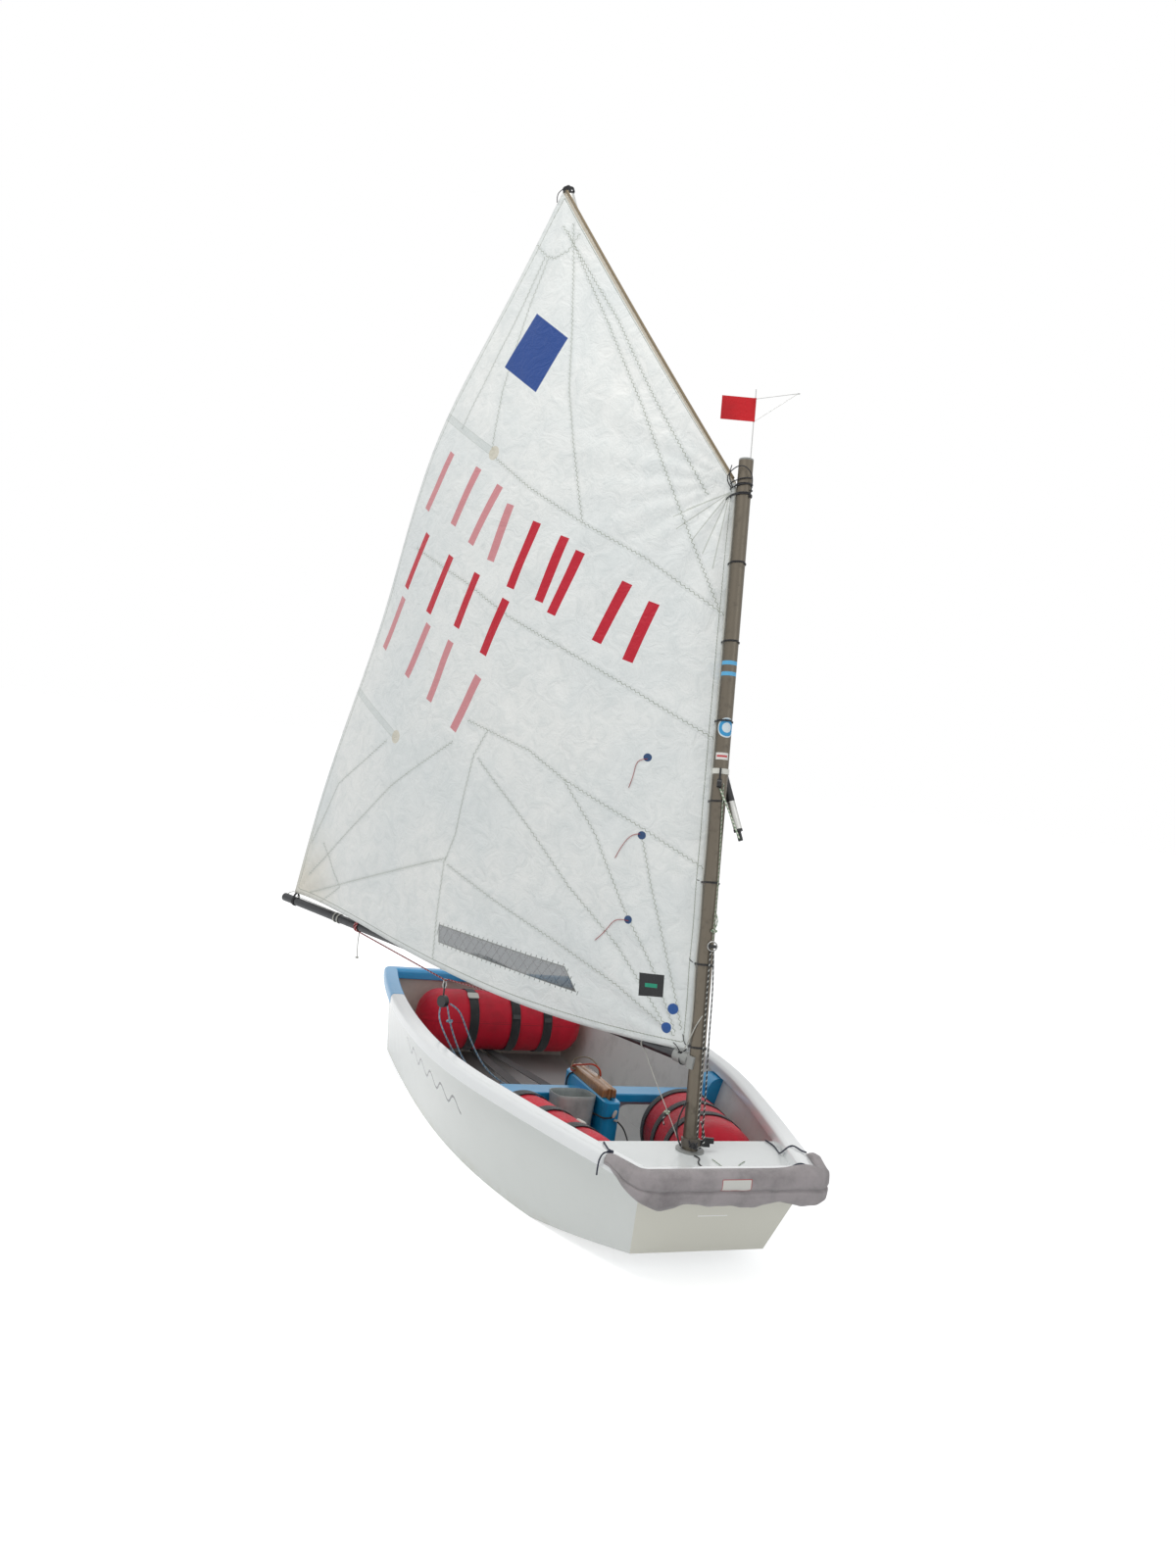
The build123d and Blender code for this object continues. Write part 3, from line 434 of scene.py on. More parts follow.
def moulded_edge(corners, rounds, steps):
    """A closed outline whose corners are arcs: corner points, and each one's radius."""
    corners = np.array(corners)
    outline = []
    for number, radius in enumerate(rounds):
        here, before, after = corners[number], corners[number - 1], corners[(number + 1) % len(corners)]
        outline.append(rounded(here, unit(before - here), unit(after - here), radius, steps))
    return np.vstack(outline)


rail_low, rail_top, rail_wide = 0.312, 0.354, 0.058
rail_profile = moulded_edge([(0.0, rail_low), (0.0, rail_top), (rail_wide, rail_top), (rail_wide, rail_low)],
                            [0.005, 0.014, 0.014, 0.004], 7)


def rail_piece(name, node, end, from_x, steps, paint):
    """The rail's profile carried round one end of the boat."""
    lines = np.stack([rail_line(inset, end, from_x, steps) for inset in rail_profile[:, 0]], 1)
    height = np.broadcast_to(rail_profile[:, 1], lines.shape[:2])
    points = np.concatenate([lines, height[..., None]], 2)
    made = surface(name, "hull", points, paint, around=True, capped=True)
    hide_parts(node)


white_coat = gelcoat("white_gelcoat", colour(238, 241, 242), 0.14, 0.05)[0]
blue_coat = gelcoat("rail_blue", colour(66, 168, 226), 0.34, 0.08)[0]
rail_piece("white_rail", "rail_white", 1, -0.6545, 150, white_coat)
rail_piece("blue_rail", "rail_blue", -1, -0.6555, 50, blue_coat)


# Bow deck: a white moulding across the bow that also carries the mast,
# with the turned collar that the mast passes and the step it stands in.
deck_coat = gelcoat("deck_gelcoat", colour(224, 228, 228), 0.30, 0.12)[0]
dress("bow_deck", deck_coat)
dress("mast_step", deck_coat)


def moulded(name, shade, rough):
    """Injection-moulded plastic: an even colour with fine grain, handling shine and pale scuffs."""
    plastic = Paint(name, IOR=1.48)
    here = plastic.place()
    patches = plastic.noise(here, 26.0, 4.0, 0.6)
    scuff = plastic.noise(here, 160.0, 3.0, 0.7).rise(0.60, 0.74) * patches.rise(0.48, 0.62)
    plastic.finish(plastic.mix(scuff * 0.5, shade, tinted(shade, 0.7, 0.10)), patches * 0.2 + rough - 0.1,
                   plastic.noise(here, 420.0, 1.0), 0.0002)
    return plastic


grey_plastic = moulded("grey_plastic", colour(150, 152, 150), 0.42)
black_plastic = moulded("black_plastic", colour(34, 35, 36), 0.40)
white_plastic = moulded("white_plastic", colour(206, 207, 200), 0.48)
dress("mast_collar", grey_plastic)

# Midship thwart, web frame and daggerboard case: glossy mouldings, blue and the web pale grey,
# bonded to the shell.
blue_thwart = gelcoat("thwart_blue", colour(20, 156, 214), 0.30, 0.12)[0]
dress("midship_thwart", blue_thwart)
dress("daggerboard_case", blue_thwart)
web_coat = gelcoat("web_gelcoat", colour(205, 209, 209), 0.34, 0.12)[0]
dress("midship_web", web_coat)


# Daggerboard: varnished wood, with two wooden cheeks glued on as a handle
# that keeps it from falling through the case.
def varnished(name, shade, grain_dark, turned=(0.0, 0.0, 0.0)):
    """Varnished wood: long grain from noise stretched along the piece, darker pores, clear coat over it."""
    wood = Paint(name, IOR=1.5, Coat_Weight=0.6, Coat_Roughness=0.08)
    stretched = wood.place(scale=(30.0, 30.0, 1.6), turned=turned)
    figure = wood.noise(stretched, 1.0, 5.0, 0.6, 0.8)
    rings = ((figure * 38.0).sine() * 0.5 + 0.5) * 0.4 + figure * 0.6
    pores = wood.noise(wood.place(scale=(260.0, 260.0, 9.0), turned=turned), 1.0, 2.0).rise(0.60, 0.72)
    base = wood.mix(rings, grain_dark, shade)
    base = wood.mix(pores * 0.35, base, tinted(grain_dark, 0.4))
    wood.finish(base, figure * 0.2 + 0.28, figure + pores * -0.5, 0.0002)
    return wood


board_wood = varnished("board_wood", colour(196, 150, 98), colour(140, 92, 52))
cheek_wood = varnished("cheek_wood", colour(190, 140, 86), colour(128, 80, 44), (0.0, 1.5708, 0.0))
board_half, case_top, board_long = 0.00725, 0.2713, 1.067
board_aft, board_fore, board_top, board_low = 0.020, 0.305, 0.3045, case_top + 0.064 - board_long
rings = []
for inset, aside in ((0.0055, -board_half), (0.0, -0.00175), (0.0, 0.00175), (0.0055, board_half)):
    aft, fore, low, high = board_aft + inset, board_fore - inset, board_low + inset, board_top - inset * 0.4
    outline = moulded_edge([(aft, low), (fore, low), (fore, high), (aft, high)],
                           [0.035 - inset, 0.070 - inset, 0.004, 0.004], 12)
    rings.append(np.column_stack([outline[:, 0], np.full(len(outline), aside), outline[:, 1]]))
blade = surface("board_blade", "daggerboard", np.array(rings), board_wood, around=True, capped=True,
                smooth=False)
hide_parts("daggerboard_blade")
for label, side in (("starboard", -1), ("port", 1)):
    near, out, cheek_top = board_half, board_half + 0.018, 0.3020
    section = moulded_edge([(near, case_top), (out, case_top), (out, cheek_top), (near, cheek_top)],
                           [0.0006, 0.002, 0.0065, 0.0006], 6)
    ends = np.array([(board_aft, 0.0035), (board_aft + 0.0010, 0.0010), (board_aft + 0.0035, 0.0),
                     (board_fore - 0.0035, 0.0), (board_fore - 0.0010, 0.0010), (board_fore, 0.0035)])
    middle = section.mean(0)
    shrunk = middle + (section - middle)[None] * (1 - ends[:, 1, None, None] / 0.010)
    points = np.stack([np.broadcast_to(ends[:, :1], shrunk.shape[:2]), shrunk[..., 0] * side,
                       shrunk[..., 1]], -1)
    cheek = surface("board_cheek_" + label, "daggerboard", points, cheek_wood, around=True, capped=True)
    if side < 0:
        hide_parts("daggerboard_cheeks")


# Buoyancy bags: red coated cloth cylinders blown up hard, one across the stern and one
# along each side, with welded end seams that pucker the cloth.
def coated_cloth(name, shade, weave=900.0):
    """Coated cloth: a fine woven grain, slow colour changes and small puckers, with a soft shine."""
    cloth = Paint(name, IOR=1.40, Sheen_Weight=0.05)
    flat = cloth.pattern()
    here = cloth.place()
    slow = cloth.noise(here, 9.0, 4.0, 0.6)
    over, on = cloth.axes(flat)[:2]
    warp = (over * (2 * np.pi * weave)).sine() * (on * (2 * np.pi * weave)).sine()
    crease = cloth.noise(here, 22.0, 3.0, 0.55, 0.6)
    base = cloth.mix(slow.rise(0.25, 0.60) * 0.6 + 0.4, tinted(shade, 0.55), shade)
    cloth.finish(base, slow * 0.18 + 0.36, warp * 0.10 + crease * 1.6, 0.0016)
    return cloth


bag_cloth = coated_cloth("bag_red", colour(216, 12, 48))
over, on = bag_cloth.axes(bag_cloth.pattern())[:2]
weld = (abs(over - 0.016) < 0.0013).larger(abs(over - 0.023) < 0.0007)
bag_cloth.over(weld * 0.5, colour(120, 10, 26))


def square_frame(start, end):
    """A line's start, its direction, and the two directions square to it, one of them level."""
    start, end = np.array(start), np.array(end)
    way = unit(end - start)
    side = unit(np.cross(way, (0, 0, 1.0)))
    return start, way, side, np.cross(side, way)


def air_bag(name, node, start, end, radii, grips, seed):
    """A bag along a line: round, its radius running evenly from the first to the second, with ends that
    close like a pillow's, drawn in a little under each strap, and with puckers that run in from the ends."""
    length = np.linalg.norm(np.array(end) - np.array(start))
    start, way, side, lift = square_frame(start, end)
    share = (1 - np.cos(np.linspace(0.0, np.pi, 150))) / 2
    share = 0.35 * share + 0.65 * np.linspace(0, 1, 150)
    turned = np.linspace(0, 2 * np.pi, 97)[:-1]
    s, a = np.meshgrid(share, turned, indexing="ij")
    radius = radii[0] + (radii[1] - radii[0]) * s
    from_end = np.minimum(s, 1 - s) * length
    fall = np.clip(1 - from_end / 0.100, 0, 1)
    size = np.sqrt(np.clip(1 - fall ** 2.4, 0.0, 1)) * 0.995
    random = np.random.default_rng(seed)
    folds = sum(random.uniform(0.4, 1) * np.sin(k * a + random.uniform(0, 6.28)) for k in (7, 11, 16, 23))
    size = size * (1 - 0.013 * folds * np.exp(-(from_end / 0.05) ** 2))
    for grip in grips:
        size = size - 0.022 * np.exp(-((s * length - grip) / 0.026) ** 2)
        size = size + 0.006 * np.exp(-((np.abs(s * length - grip) - 0.05) / 0.02) ** 2)
    wave = 0.004 * np.sin(3 * a + 5 * s * length + seed) * np.sin(9 * s * length)
    size = np.minimum(size + wave, 1.005) * radius
    points = start + way * (s * length)[..., None] + (side * np.cos(a)[..., None]
                                                     + lift * np.sin(a)[..., None]) * size[..., None]
    laid = np.linspace(0, 2 * np.pi, 97)
    pattern = np.stack(np.broadcast_arrays(laid[None, :] * radii[0], (share * length)[:, None]), -1)
    made = surface(name, "hull", points, bag_cloth, around=True, capped=True, pattern=pattern)
    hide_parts(node)


stern_bag = ((-0.9749, -0.330, 0.180), (-0.9749, 0.406, 0.180))
side_axes = {"port": ((0.2700, 0.30165, 0.15525), (0.7300, 0.19253, 0.19549)),
             "starboard": ((0.2700, -0.3067, 0.1503), (0.7300, -0.2165, 0.1715))}
side_radii = {"port": (0.140, 0.140), "starboard": (0.135, 0.116)}
side_run = np.linalg.norm(np.subtract(*side_axes["port"]))
stern_grips = [y + 0.330 for y in (-0.112, 0.073, 0.218)]
end_cap = 0.060
side_grips = [end_cap + side_run * share for share in (0.07, 0.40, 0.73)]
stern_radii = (0.125, 0.125)
air_bag("stern_bag", "bag_aft", *stern_bag, stern_radii, stern_grips, 3)
side_bags = {}
for label, seed in (("port", 6), ("starboard", 4)):
    low, high = np.array(side_axes[label])
    way = unit(high - low)
    side_bags[label] = (low - way * end_cap, high + way * end_cap)
    air_bag("side_bag_" + label, "bag_" + label, *side_bags[label], side_radii[label], side_grips, seed)


# Straps: black woven webbing drawn tight round each bag,
# and two flat hiking straps that run aft over the floor.
def webbing(name, shade):
    """Woven webbing: ribs across the band, their crests painted paler as a highlight, and a herringbone
    along it, dull black with faded edges.
    """
    band = Paint(name, IOR=1.45, Sheen_Weight=0.3)
    over, on = band.axes(band.pattern())[:2]
    rib = (on * (2 * np.pi * 420)).sine() * 0.5 + 0.5
    twill = ((over + abs((on * 160 % 1.0) - 0.5) * 0.004) * (2 * np.pi * 520)).sine() * 0.5 + 0.5
    fade = band.noise(band.place(), 30.0, 4.0, 0.6)
    # The ribs' crests are painted paler: painted highlight; the fade noise is real fading.
    base = band.mix(fade.rise(0.4, 0.75) * 0.5 + rib * 0.15, shade, tinted(shade, 2.2, 0.012))
    band.finish(base, 0.72, rib * 0.6 + twill * 0.6, 0.0005)
    return band


strap_black = webbing("webbing", colour(30, 31, 33))


def webbing_loop(name, start, end, grip, radius, width=0.040, thick=0.0028):
    """A flat band round a bag: a rectangle with rounded edges carried round a circle."""
    middle = np.array(start) + (np.array(end) - start) * grip / np.linalg.norm(np.array(end) - start)
    start, way, side, lift = square_frame(start, end)
    turned = np.linspace(0, 2 * np.pi, 97)
    section = moulded_edge([(-width / 2, 0), (width / 2, 0), (width / 2, thick), (-width / 2, thick)],
                           [0.001] * 4, 4)
    out = radius + section[:, 1]
    radial = side * np.cos(turned)[:, None] + lift * np.sin(turned)[:, None]
    points = middle + way * section[None, :, :1] + radial[:, None] * out[None, :, None]
    return surface(name, "hull", points, strap_black, around=True)


for label, line, radii, grips, node in (
        ("stern", stern_bag, stern_radii, stern_grips, "bag_aft_straps"),
        ("port", side_bags["port"], side_radii["port"], side_grips, "bag_port_straps"),
        ("starboard", side_bags["starboard"], side_radii["starboard"], side_grips, "bag_starboard_straps")):
    for number, grip in enumerate(grips):
        radius = radii[0] + (radii[1] - radii[0]) * grip / np.linalg.norm(np.subtract(*line))
        loop = webbing_loop(f"{label}_strap_{number}", *line, grip, radius)
        if number == 0:
            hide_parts(node)
dress("hiking_straps", strap_black)


def pebble(name, body, middle, axes, half, paint, power):
    """A rounded block: a superellipsoid, with each of its sines and cosines raised to a power."""
    up_turn, turn = np.linspace(-np.pi / 2, np.pi / 2, 25)[1:-1], np.linspace(0, 2 * np.pi, 49)[:-1]

    def eased(value):
        return np.sign(value) * np.abs(value) ** power

    a, b = np.meshgrid(up_turn, turn, indexing="ij")
    shape = np.stack([eased(np.cos(a)) * eased(np.cos(b)), eased(np.cos(a)) * eased(np.sin(b)),
                      eased(np.sin(a))], -1)
    axes = np.array(axes, float)
    axes = axes / np.linalg.norm(axes, axis=1, keepdims=True)
    return surface(name, body, (shape * half) @ axes + middle, paint, around=True, capped=True)


def square_to(first, second):
    """Three directions square to each other: the first as given, the second as near as it can be."""
    first, second = np.array(first, float), np.array(second, float)
    third = np.cross(first, second)
    return np.array([first, np.cross(third, first), third])


for number, (grip, tilt_up) in enumerate(zip(stern_grips, (64, 22, 18))):
    out_way = np.array([np.cos(np.radians(tilt_up)), 0, np.sin(np.radians(tilt_up))])
    place = np.array(stern_bag[0]) + (0, grip, 0) + out_way * 0.1302
    half = (0.017, 0.024, 0.0030) if number == 0 else (0.010, 0.018, 0.0022)
    pebble(f"stern_buckle_{number}", "hull", place, square_to(np.cross((0, 1, 0), out_way), (0, 1, 0)), half,
           white_plastic if number == 0 else black_plastic, 0.25)
pebble("valve_cap", "hull", (0.548, -0.200, 0.276), square_to((0.97, 0.2, 0.03), (0.0, 0.91, -0.39)),
       (0.020, 0.011, 0.006), white_plastic, 0.6)


# Bailer: a cut-down grey jug of half clear plastic, standing on the floor
# beside the case.
jug = Paint("bailer_grey", IOR=1.45, Alpha=0.9)
here = jug.place()
cloud = jug.noise(here, 16.0, 4.0, 0.6)
jug.finish(jug.mix(cloud.rise(0.3, 0.7), colour(150, 158, 158), colour(186, 192, 190)), cloud * 0.2 + 0.3,
           jug.noise(here, 120.0, 2.0), 0.0003)


def open_cup(name, node, place, foot_l, foot_w, high, flare, wall, paint):
    """A cut-down jug: outlines |x/a|^n + |y/b|^n = 1 that widen up the outside, turn over the rim and come
    down inside to its floor."""
    turned = np.linspace(0, 2 * np.pi, 97)[:-1]
    power = 2 / 3.6
    ring = np.column_stack([np.sign(np.cos(turned)) * np.abs(np.cos(turned)) ** power,
                            np.sign(np.sin(turned)) * np.abs(np.sin(turned)) ** power])
    climb = np.concatenate([[0, 0.004, 0.012], np.linspace(0.02, high - 0.001, 24), [high]])
    inset = np.concatenate([[0.012, 0.004, 0.0005], np.zeros(24), [wall * 0.3]])
    z = np.concatenate([climb, climb[:2:-1], [wall * 3, wall * 1.3]])
    inset = np.concatenate([inset, [wall * 0.7], np.full(23, wall), [wall, wall * 2, 0.012]])
    spread = z * np.tan(flare)
    points = np.stack([ring[None, :, 0] * (foot_l / 2 + spread - inset)[:, None],
                       ring[None, :, 1] * (foot_w / 2 + spread - inset)[:, None],
                       np.broadcast_to(z[:, None], (len(z), 96))], -1)
    points = points @ np.array(place[0]).T + place[1]
    made = surface(name, "hull", points, paint, around=True, capped=True)
    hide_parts(node)


tilt = np.arcsin((0.266 + 0.286) / 6.35)
stand = np.array([[np.cos(tilt), 0, -np.sin(tilt)], [0, 1, 0], [np.sin(tilt), 0, np.cos(tilt)]])
open_cup("cut_jug", "bailer", (stand, (0.266, -0.107, -0.0253)), 0.086, 0.100, 0.295, np.radians(4.4), 0.003,
         jug)


# Bow fender: a padded grey cloth roll round the bow rail, sewn along its
# middle and tied to the rail.
def padded_cloth(name, shade):
    """Padded cloth: a plain weave with creases, painted darker in their hollows as shade."""
    cloth = Paint(name, IOR=1.45, Sheen_Weight=0.35)
    over, on = cloth.axes(cloth.pattern())[:2]
    here = cloth.place()
    weave = (over * (2 * np.pi * 480)).sine() * (on * (2 * np.pi * 480)).sine()
    slow = cloth.noise(here, 12.0, 5.0, 0.65)
    # Darker where the crease noise dips, in the hollows of the creases: painted shade.
    base = cloth.mix(slow.rise(0.25, 0.65), tinted(shade, 0.6), shade)
    cloth.finish(base, 0.85, weave * 0.25 + slow * 2.0, 0.0015)
    return cloth


fender_cloth = padded_cloth("fender_grey", colour(178, 171, 173))
low_label = fender_cloth.along((0, 0, 1), (0, 0, 0.329))
label_y = fender_cloth.along((0, 1, 0), (0, -0.004, 0))
label = (fender_cloth.along((1, 0, 0)) > 1.12) * (abs(low_label) < 0.0165) * (abs(label_y) < 0.046)
fender_cloth.over(label, colour(186, 60, 62))
label = label * (abs(low_label) < 0.0145) * (abs(label_y) < 0.044)
fender_cloth.over(label, colour(232, 232, 226))
out_side, roll_low, roll_high, roll_aft = 0.028, 0.266, 0.364, 1.020


def fender_roll():
    """The roll's section, carried along the rail's line: a fat outer face pinched at its middle seam, a flap
    over the rail's top, and a flat back, as inset from the rail's outer line and height."""
    middle = (roll_low + roll_high) / 2 - 0.004
    face_z = np.linspace(roll_low + 0.012, roll_high - 0.014, 25)
    bulge = np.sqrt(np.clip(1 - ((face_z - middle) / (0.5 * (roll_high - roll_low))) ** 2, 0, 1))
    seam = np.exp(-((face_z - middle) / 0.0045) ** 2)
    face = np.column_stack([-(0.012 + (out_side - 0.012) * bulge ** 0.5 - 0.007 * seam), face_z])
    top = np.array([(-0.012, roll_high - 0.002), (-0.004, roll_high), (0.008, roll_high - 0.001),
                    (0.0155, roll_high - 0.004), (0.0155, rail_top + 0.0008), (0.006, rail_top + 0.0006),
                    (-0.0005, rail_top + 0.0006)])
    back = np.array([(-0.0006, 0.340), (-0.0006, 0.300), (-0.0006, roll_low + 0.006), (-0.006, roll_low),
                     (-0.016, roll_low + 0.002)])
    return np.vstack([face, top, back])


roll = fender_roll()
lines = np.stack([rail_line(inset, 1, roll_aft, 30) for inset in roll[:, 0]], 1)
near_rail = rail_line(-0.0008, 1, roll_aft, 30)
reach = np.concatenate([[0], np.linalg.norm(np.diff(near_rail, axis=0), axis=1).cumsum()])
share = np.linspace(0, 1, 201)
near_rail = np.stack([np.interp(share, reach / reach[-1], near_rail[:, i]) for i in (0, 1)], -1)[:, None]
lines = np.stack([[np.interp(share, reach / reach[-1], lines[:, column, i]) for i in (0, 1)]
                  for column in range(len(roll))]).transpose(2, 0, 1)
share = share[:, None]
ends = np.minimum(share, 1 - share)
droop = np.clip(1 - ends / 0.020, 0, 1) ** 2
full = np.clip(share / 0.22, 0, 1)
full = (0.24 + 0.76 * full * full * (3 - 2 * full)) * (1 - 0.35 * np.clip(1 - (1 - share) / 0.05, 0, 1) ** 2)
outside = (roll[:, 0] < -0.001)[None, :, None]
lines = np.where(outside, near_rail + (lines - near_rail) * full[..., None], lines)
height = roll[None, :, 1] * (1 - 0.02 * droop)
height = np.where(roll[None, :, 1] < 0.345, 0.345 - (0.345 - height) * full, height)
crest = (roll[None, :, 1] > rail_top + 0.004) * (0.010 * np.exp(-((share - 0.77) / 0.055) ** 2)
                                                 + 0.007 * np.exp(-((share - 0.93) / 0.035) ** 2))
ripple = 0.0018 * np.sin(share * 75) * np.sin(share * 31 + 1) * (roll[None, :, 0] < -0.014)
low = np.clip((0.310 - roll[None, :, 1]) / 0.04, 0, 1) * (roll[None, :, 0] < -0.004)
ripple = ripple + low * (0.005 * np.sin(share * 21) + 0.004 * np.sin(share * 37 + 2)) + crest
points = np.concatenate([lines, (height + ripple)[..., None]], 2)
fender = surface("bow_roll", "hull", points, fender_cloth, around=True, capped=True)
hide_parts("bow_fender")


# Floor block: a black plastic ratchet block with its base, fixed to the floor,
# from which the main sheet goes up to the boom.
dress("floor_block", black_plastic)


# Rudder: a varnished blade between the cheeks of a light alloy head,
# hung on two stainless pins, with an alloy tiller and its extension.
def metal(name, shade, rough, streak=(2.0, 2.0, 60.0), turned=(0.0, 0.0, 0.0)):
    """Metal: drawn lines along the piece, dull spots, and small scuffs."""
    tube = Paint(name, Metallic=1.0)
    here = tube.place()
    drawn = tube.noise(tube.place(scale=streak, turned=turned), 3.0, 3.0, 0.6)
    spots = tube.noise(here, 38.0, 5.0, 0.65)
    dull = spots.rise(0.50, 0.72)
    base = tube.mix(dull * 0.6 + drawn * 0.25, shade, tinted(shade, 0.62, 0.02))
    tube.finish(base, drawn * 0.2 + dull * 0.18 + rough - 0.1, drawn + spots * 0.6, 0.00015)
    return tube


stainless = metal("stainless", colour(188, 188, 186), 0.28)
head_metal = metal("head_alloy", colour(170, 170, 168), 0.40)
mast_metal = metal("mast_alloy", colour(112, 105, 94), 0.42, (60.0, 60.0, 2.0), (0.0, 0.13, 0.0))
boom_metal = metal("boom_alloy", colour(78, 79, 81), 0.40, (2.0, 60.0, 60.0))
sprit_metal = metal("sprit_alloy", colour(206, 206, 202), 0.34, (40.0, 40.0, 2.0))
for node, paint in (
        ("rudder_lugs", stainless), ("rudder_pintles", stainless), ("rudder_head", head_metal),
        ("rudder_blade", board_wood), ("tiller", boom_metal), ("tiller_extension", black_plastic)):
    dress(node, paint)


# Mast: a grey-brown anodised tube with plastic plugs, two light blue measurement
# bands, a round sticker and a label, and a clamp above the collar.
rake, swing, rise = np.radians(7.8), np.radians(27.5), np.radians(9.15)
mast_foot, mast_radius = np.array([0.889, 0.0, 0.316]), 0.0225
mast_up = np.array([-np.sin(rake), 0.0, np.cos(rake)])
boom_out = np.array([-np.cos(rake) * np.cos(swing), -np.sin(swing), -np.sin(rake) * np.cos(swing)])
to_lee = np.cross(mast_up, boom_out)
sticker_aft, sticker_lee = -0.555, 0.832
sticker_side = sticker_aft * boom_out + sticker_lee * to_lee
mast_height = mast_metal.along(mast_up, mast_foot)
aside = mast_metal.along(np.cross(mast_up, sticker_side), mast_foot)
wrapped = aside.math("ARCTAN2", aside, mast_metal.along(sticker_side, mast_foot)) * mast_radius
bands = (abs(mast_height - 1.439) < 0.0060).larger(abs(mast_height - 1.406) < 0.0060)
from_disc = (wrapped - 0.008) * (wrapped - 0.008) + (mast_height - 1.243) * (mast_height - 1.243)
disc = from_disc < 0.030 ** 2
inner_disc = (from_disc < 0.026 ** 2) * (from_disc > 0.015 ** 2)
plate = (abs(wrapped) < 0.021) * (abs(mast_height - 1.157) < 0.0105)
stripe = (abs(wrapped) < 0.017) * (abs(mast_height - 1.157) < 0.0030)
cover = bands.larger(disc).larger(plate)
mast_metal.over(bands, colour(92, 176, 222), Metallic=1 - cover)
mast_metal.over(disc, colour(214, 228, 234))
mast_metal.over(inner_disc, colour(52, 152, 206))
mast_metal.over(plate, colour(226, 224, 220))
mast_metal.over(stripe, colour(198, 70, 74))
clamp_paint = moulded("clamp", colour(34, 35, 36), 0.40)
clamp_out = clamp_paint.along(sticker_side, mast_foot)
clamp_aside = clamp_paint.along(np.cross(mast_up, sticker_side), mast_foot)
ring = (clamp_out * clamp_out + clamp_aside * clamp_aside) < 0.0295 ** 2
clamp_paint.over(ring, colour(96, 90, 82))
for node, paint in (("mast_tube", mast_metal), ("mast_plugs", grey_plastic), ("mast_clamp", clamp_paint),
                    ("vane_stem", stainless)):
    dress(node, paint)


# Boom: a dark anodised alloy tube with a black end cap. A pale plastic jaw at its fore
# end holds it to the mast.
for node, paint in (("boom_tube", boom_metal), ("boom_jaw", grey_plastic), ("boom_cap", black_plastic)):
    dress(node, paint)


def on_rig(points):
    """From the rig's own lines (out along the boom's side, to leeward, up the mast) to the boat's."""
    points = np.asarray(points, float)
    return mast_foot + points[..., :1] * boom_out + points[..., 1:2] * to_lee + points[..., 2:3] * mast_up


# Sprit: a silver tube that crosses the mast and holds up the sail's peak. A black
# sleeve covers it where it rubs, and its heel hangs from a block under a white strop.
lean, twist = np.radians(19.68), np.radians(19.56)
sprit_way = np.array([np.sin(lean) * np.cos(twist), np.sin(lean) * np.sin(twist), np.cos(lean)])
sprit_off, crossing_height, sprit_below, sprit_long = 0.03955, 1.1045, 0.204, 2.266
sprit_heel = (np.array([np.sin(twist), -np.cos(twist), 0]) * sprit_off + (0, 0, crossing_height)
              - sprit_way * sprit_below)
sprit_tip = sprit_heel + sprit_way * sprit_long
from_heel = sprit_metal.along(on_rig(sprit_way) - mast_foot, on_rig(sprit_heel))
sleeve = (from_heel > 0.122) * (from_heel < 0.62)
sprit_metal.over(sleeve, colour(36, 36, 38), Metallic=1 - sleeve)
block_paint = moulded("block_black", colour(30, 31, 33), 0.36)
up_block = block_paint.along(mast_up, mast_foot)
block_side = np.radians(122)
out_block = block_paint.along(on_rig((np.cos(block_side), np.sin(block_side), 0)) - mast_foot, mast_foot)
block_paint.over((up_block > 1.1035) * (out_block < 0.0275), colour(222, 222, 214))
fleck = ((up_block * 95.0) % 1.0 < 0.42) * 0.8
block_paint.over(up_block < 1.058, block_paint.mix(fleck, colour(222, 226, 210), colour(90, 140, 96)))
for node, paint in (("sprit_tube", sprit_metal), ("sprit_ends", black_plastic), ("heel_block", block_paint)):
    dress(node, paint)


# Sail: white polyester cloth in panels, sewn with zigzag seams, laced to the
# mast along its luff and held out by the sprit and the boom.
tack_up, throat_up, boom_root, clew_out = 0.2825, 2.0025, 0.2534, 1.975
tack = np.array([0.030, 0.0, tack_up])
throat = np.array([0.030, 0.0, throat_up])
clew = np.array([clew_out, 0.0, boom_root + clew_out * np.tan(rise) + 0.030])
peak = sprit_tip - sprit_way * 0.014 + (0, 0.020, 0)
# columns: share of the height, belly to leeward, belly up, leech out, leech to leeward
sail_rows = np.array([(0.0, 0.096, -0.062, 0.0, 0.0), (0.20, 0.140, -0.034, 0.050, 0.014),
                      (0.42, 0.162, -0.010, 0.068, 0.020), (0.67, 0.138, 0.004, 0.110, 0.038),
                      (0.85, 0.092, 0.008, 0.050, 0.017), (1.0, 0.030, 0.008, 0.0, 0.0)])


def through(x, y, at):
    """A natural cubic through the points x, y: its second derivatives solve the usual three-band system."""
    count, gap = len(x), np.diff(x)
    system = np.eye(count)
    known = np.zeros(count)
    inner = np.arange(1, count - 1)
    system[inner, inner] = 2 * (gap[:-1] + gap[1:])
    system[inner, inner - 1] = gap[:-1]
    system[inner, inner + 1] = gap[1:]
    known[1:-1] = 6 * (np.diff(y[1:]) / gap[1:] - np.diff(y[:-1]) / gap[:-1])
    bend = np.linalg.solve(system, known)
    piece = np.clip(np.searchsorted(x, at) - 1, 0, count - 2)
    step, wide = at - x[piece], gap[piece]
    slope = np.diff(y)[piece] / wide - wide * (2 * bend[piece] + bend[piece + 1]) / 6
    twist = bend[piece + 1] - bend[piece]
    return y[piece] + step * slope + step ** 2 * bend[piece] / 2 + step ** 3 * twist / (6 * wide)


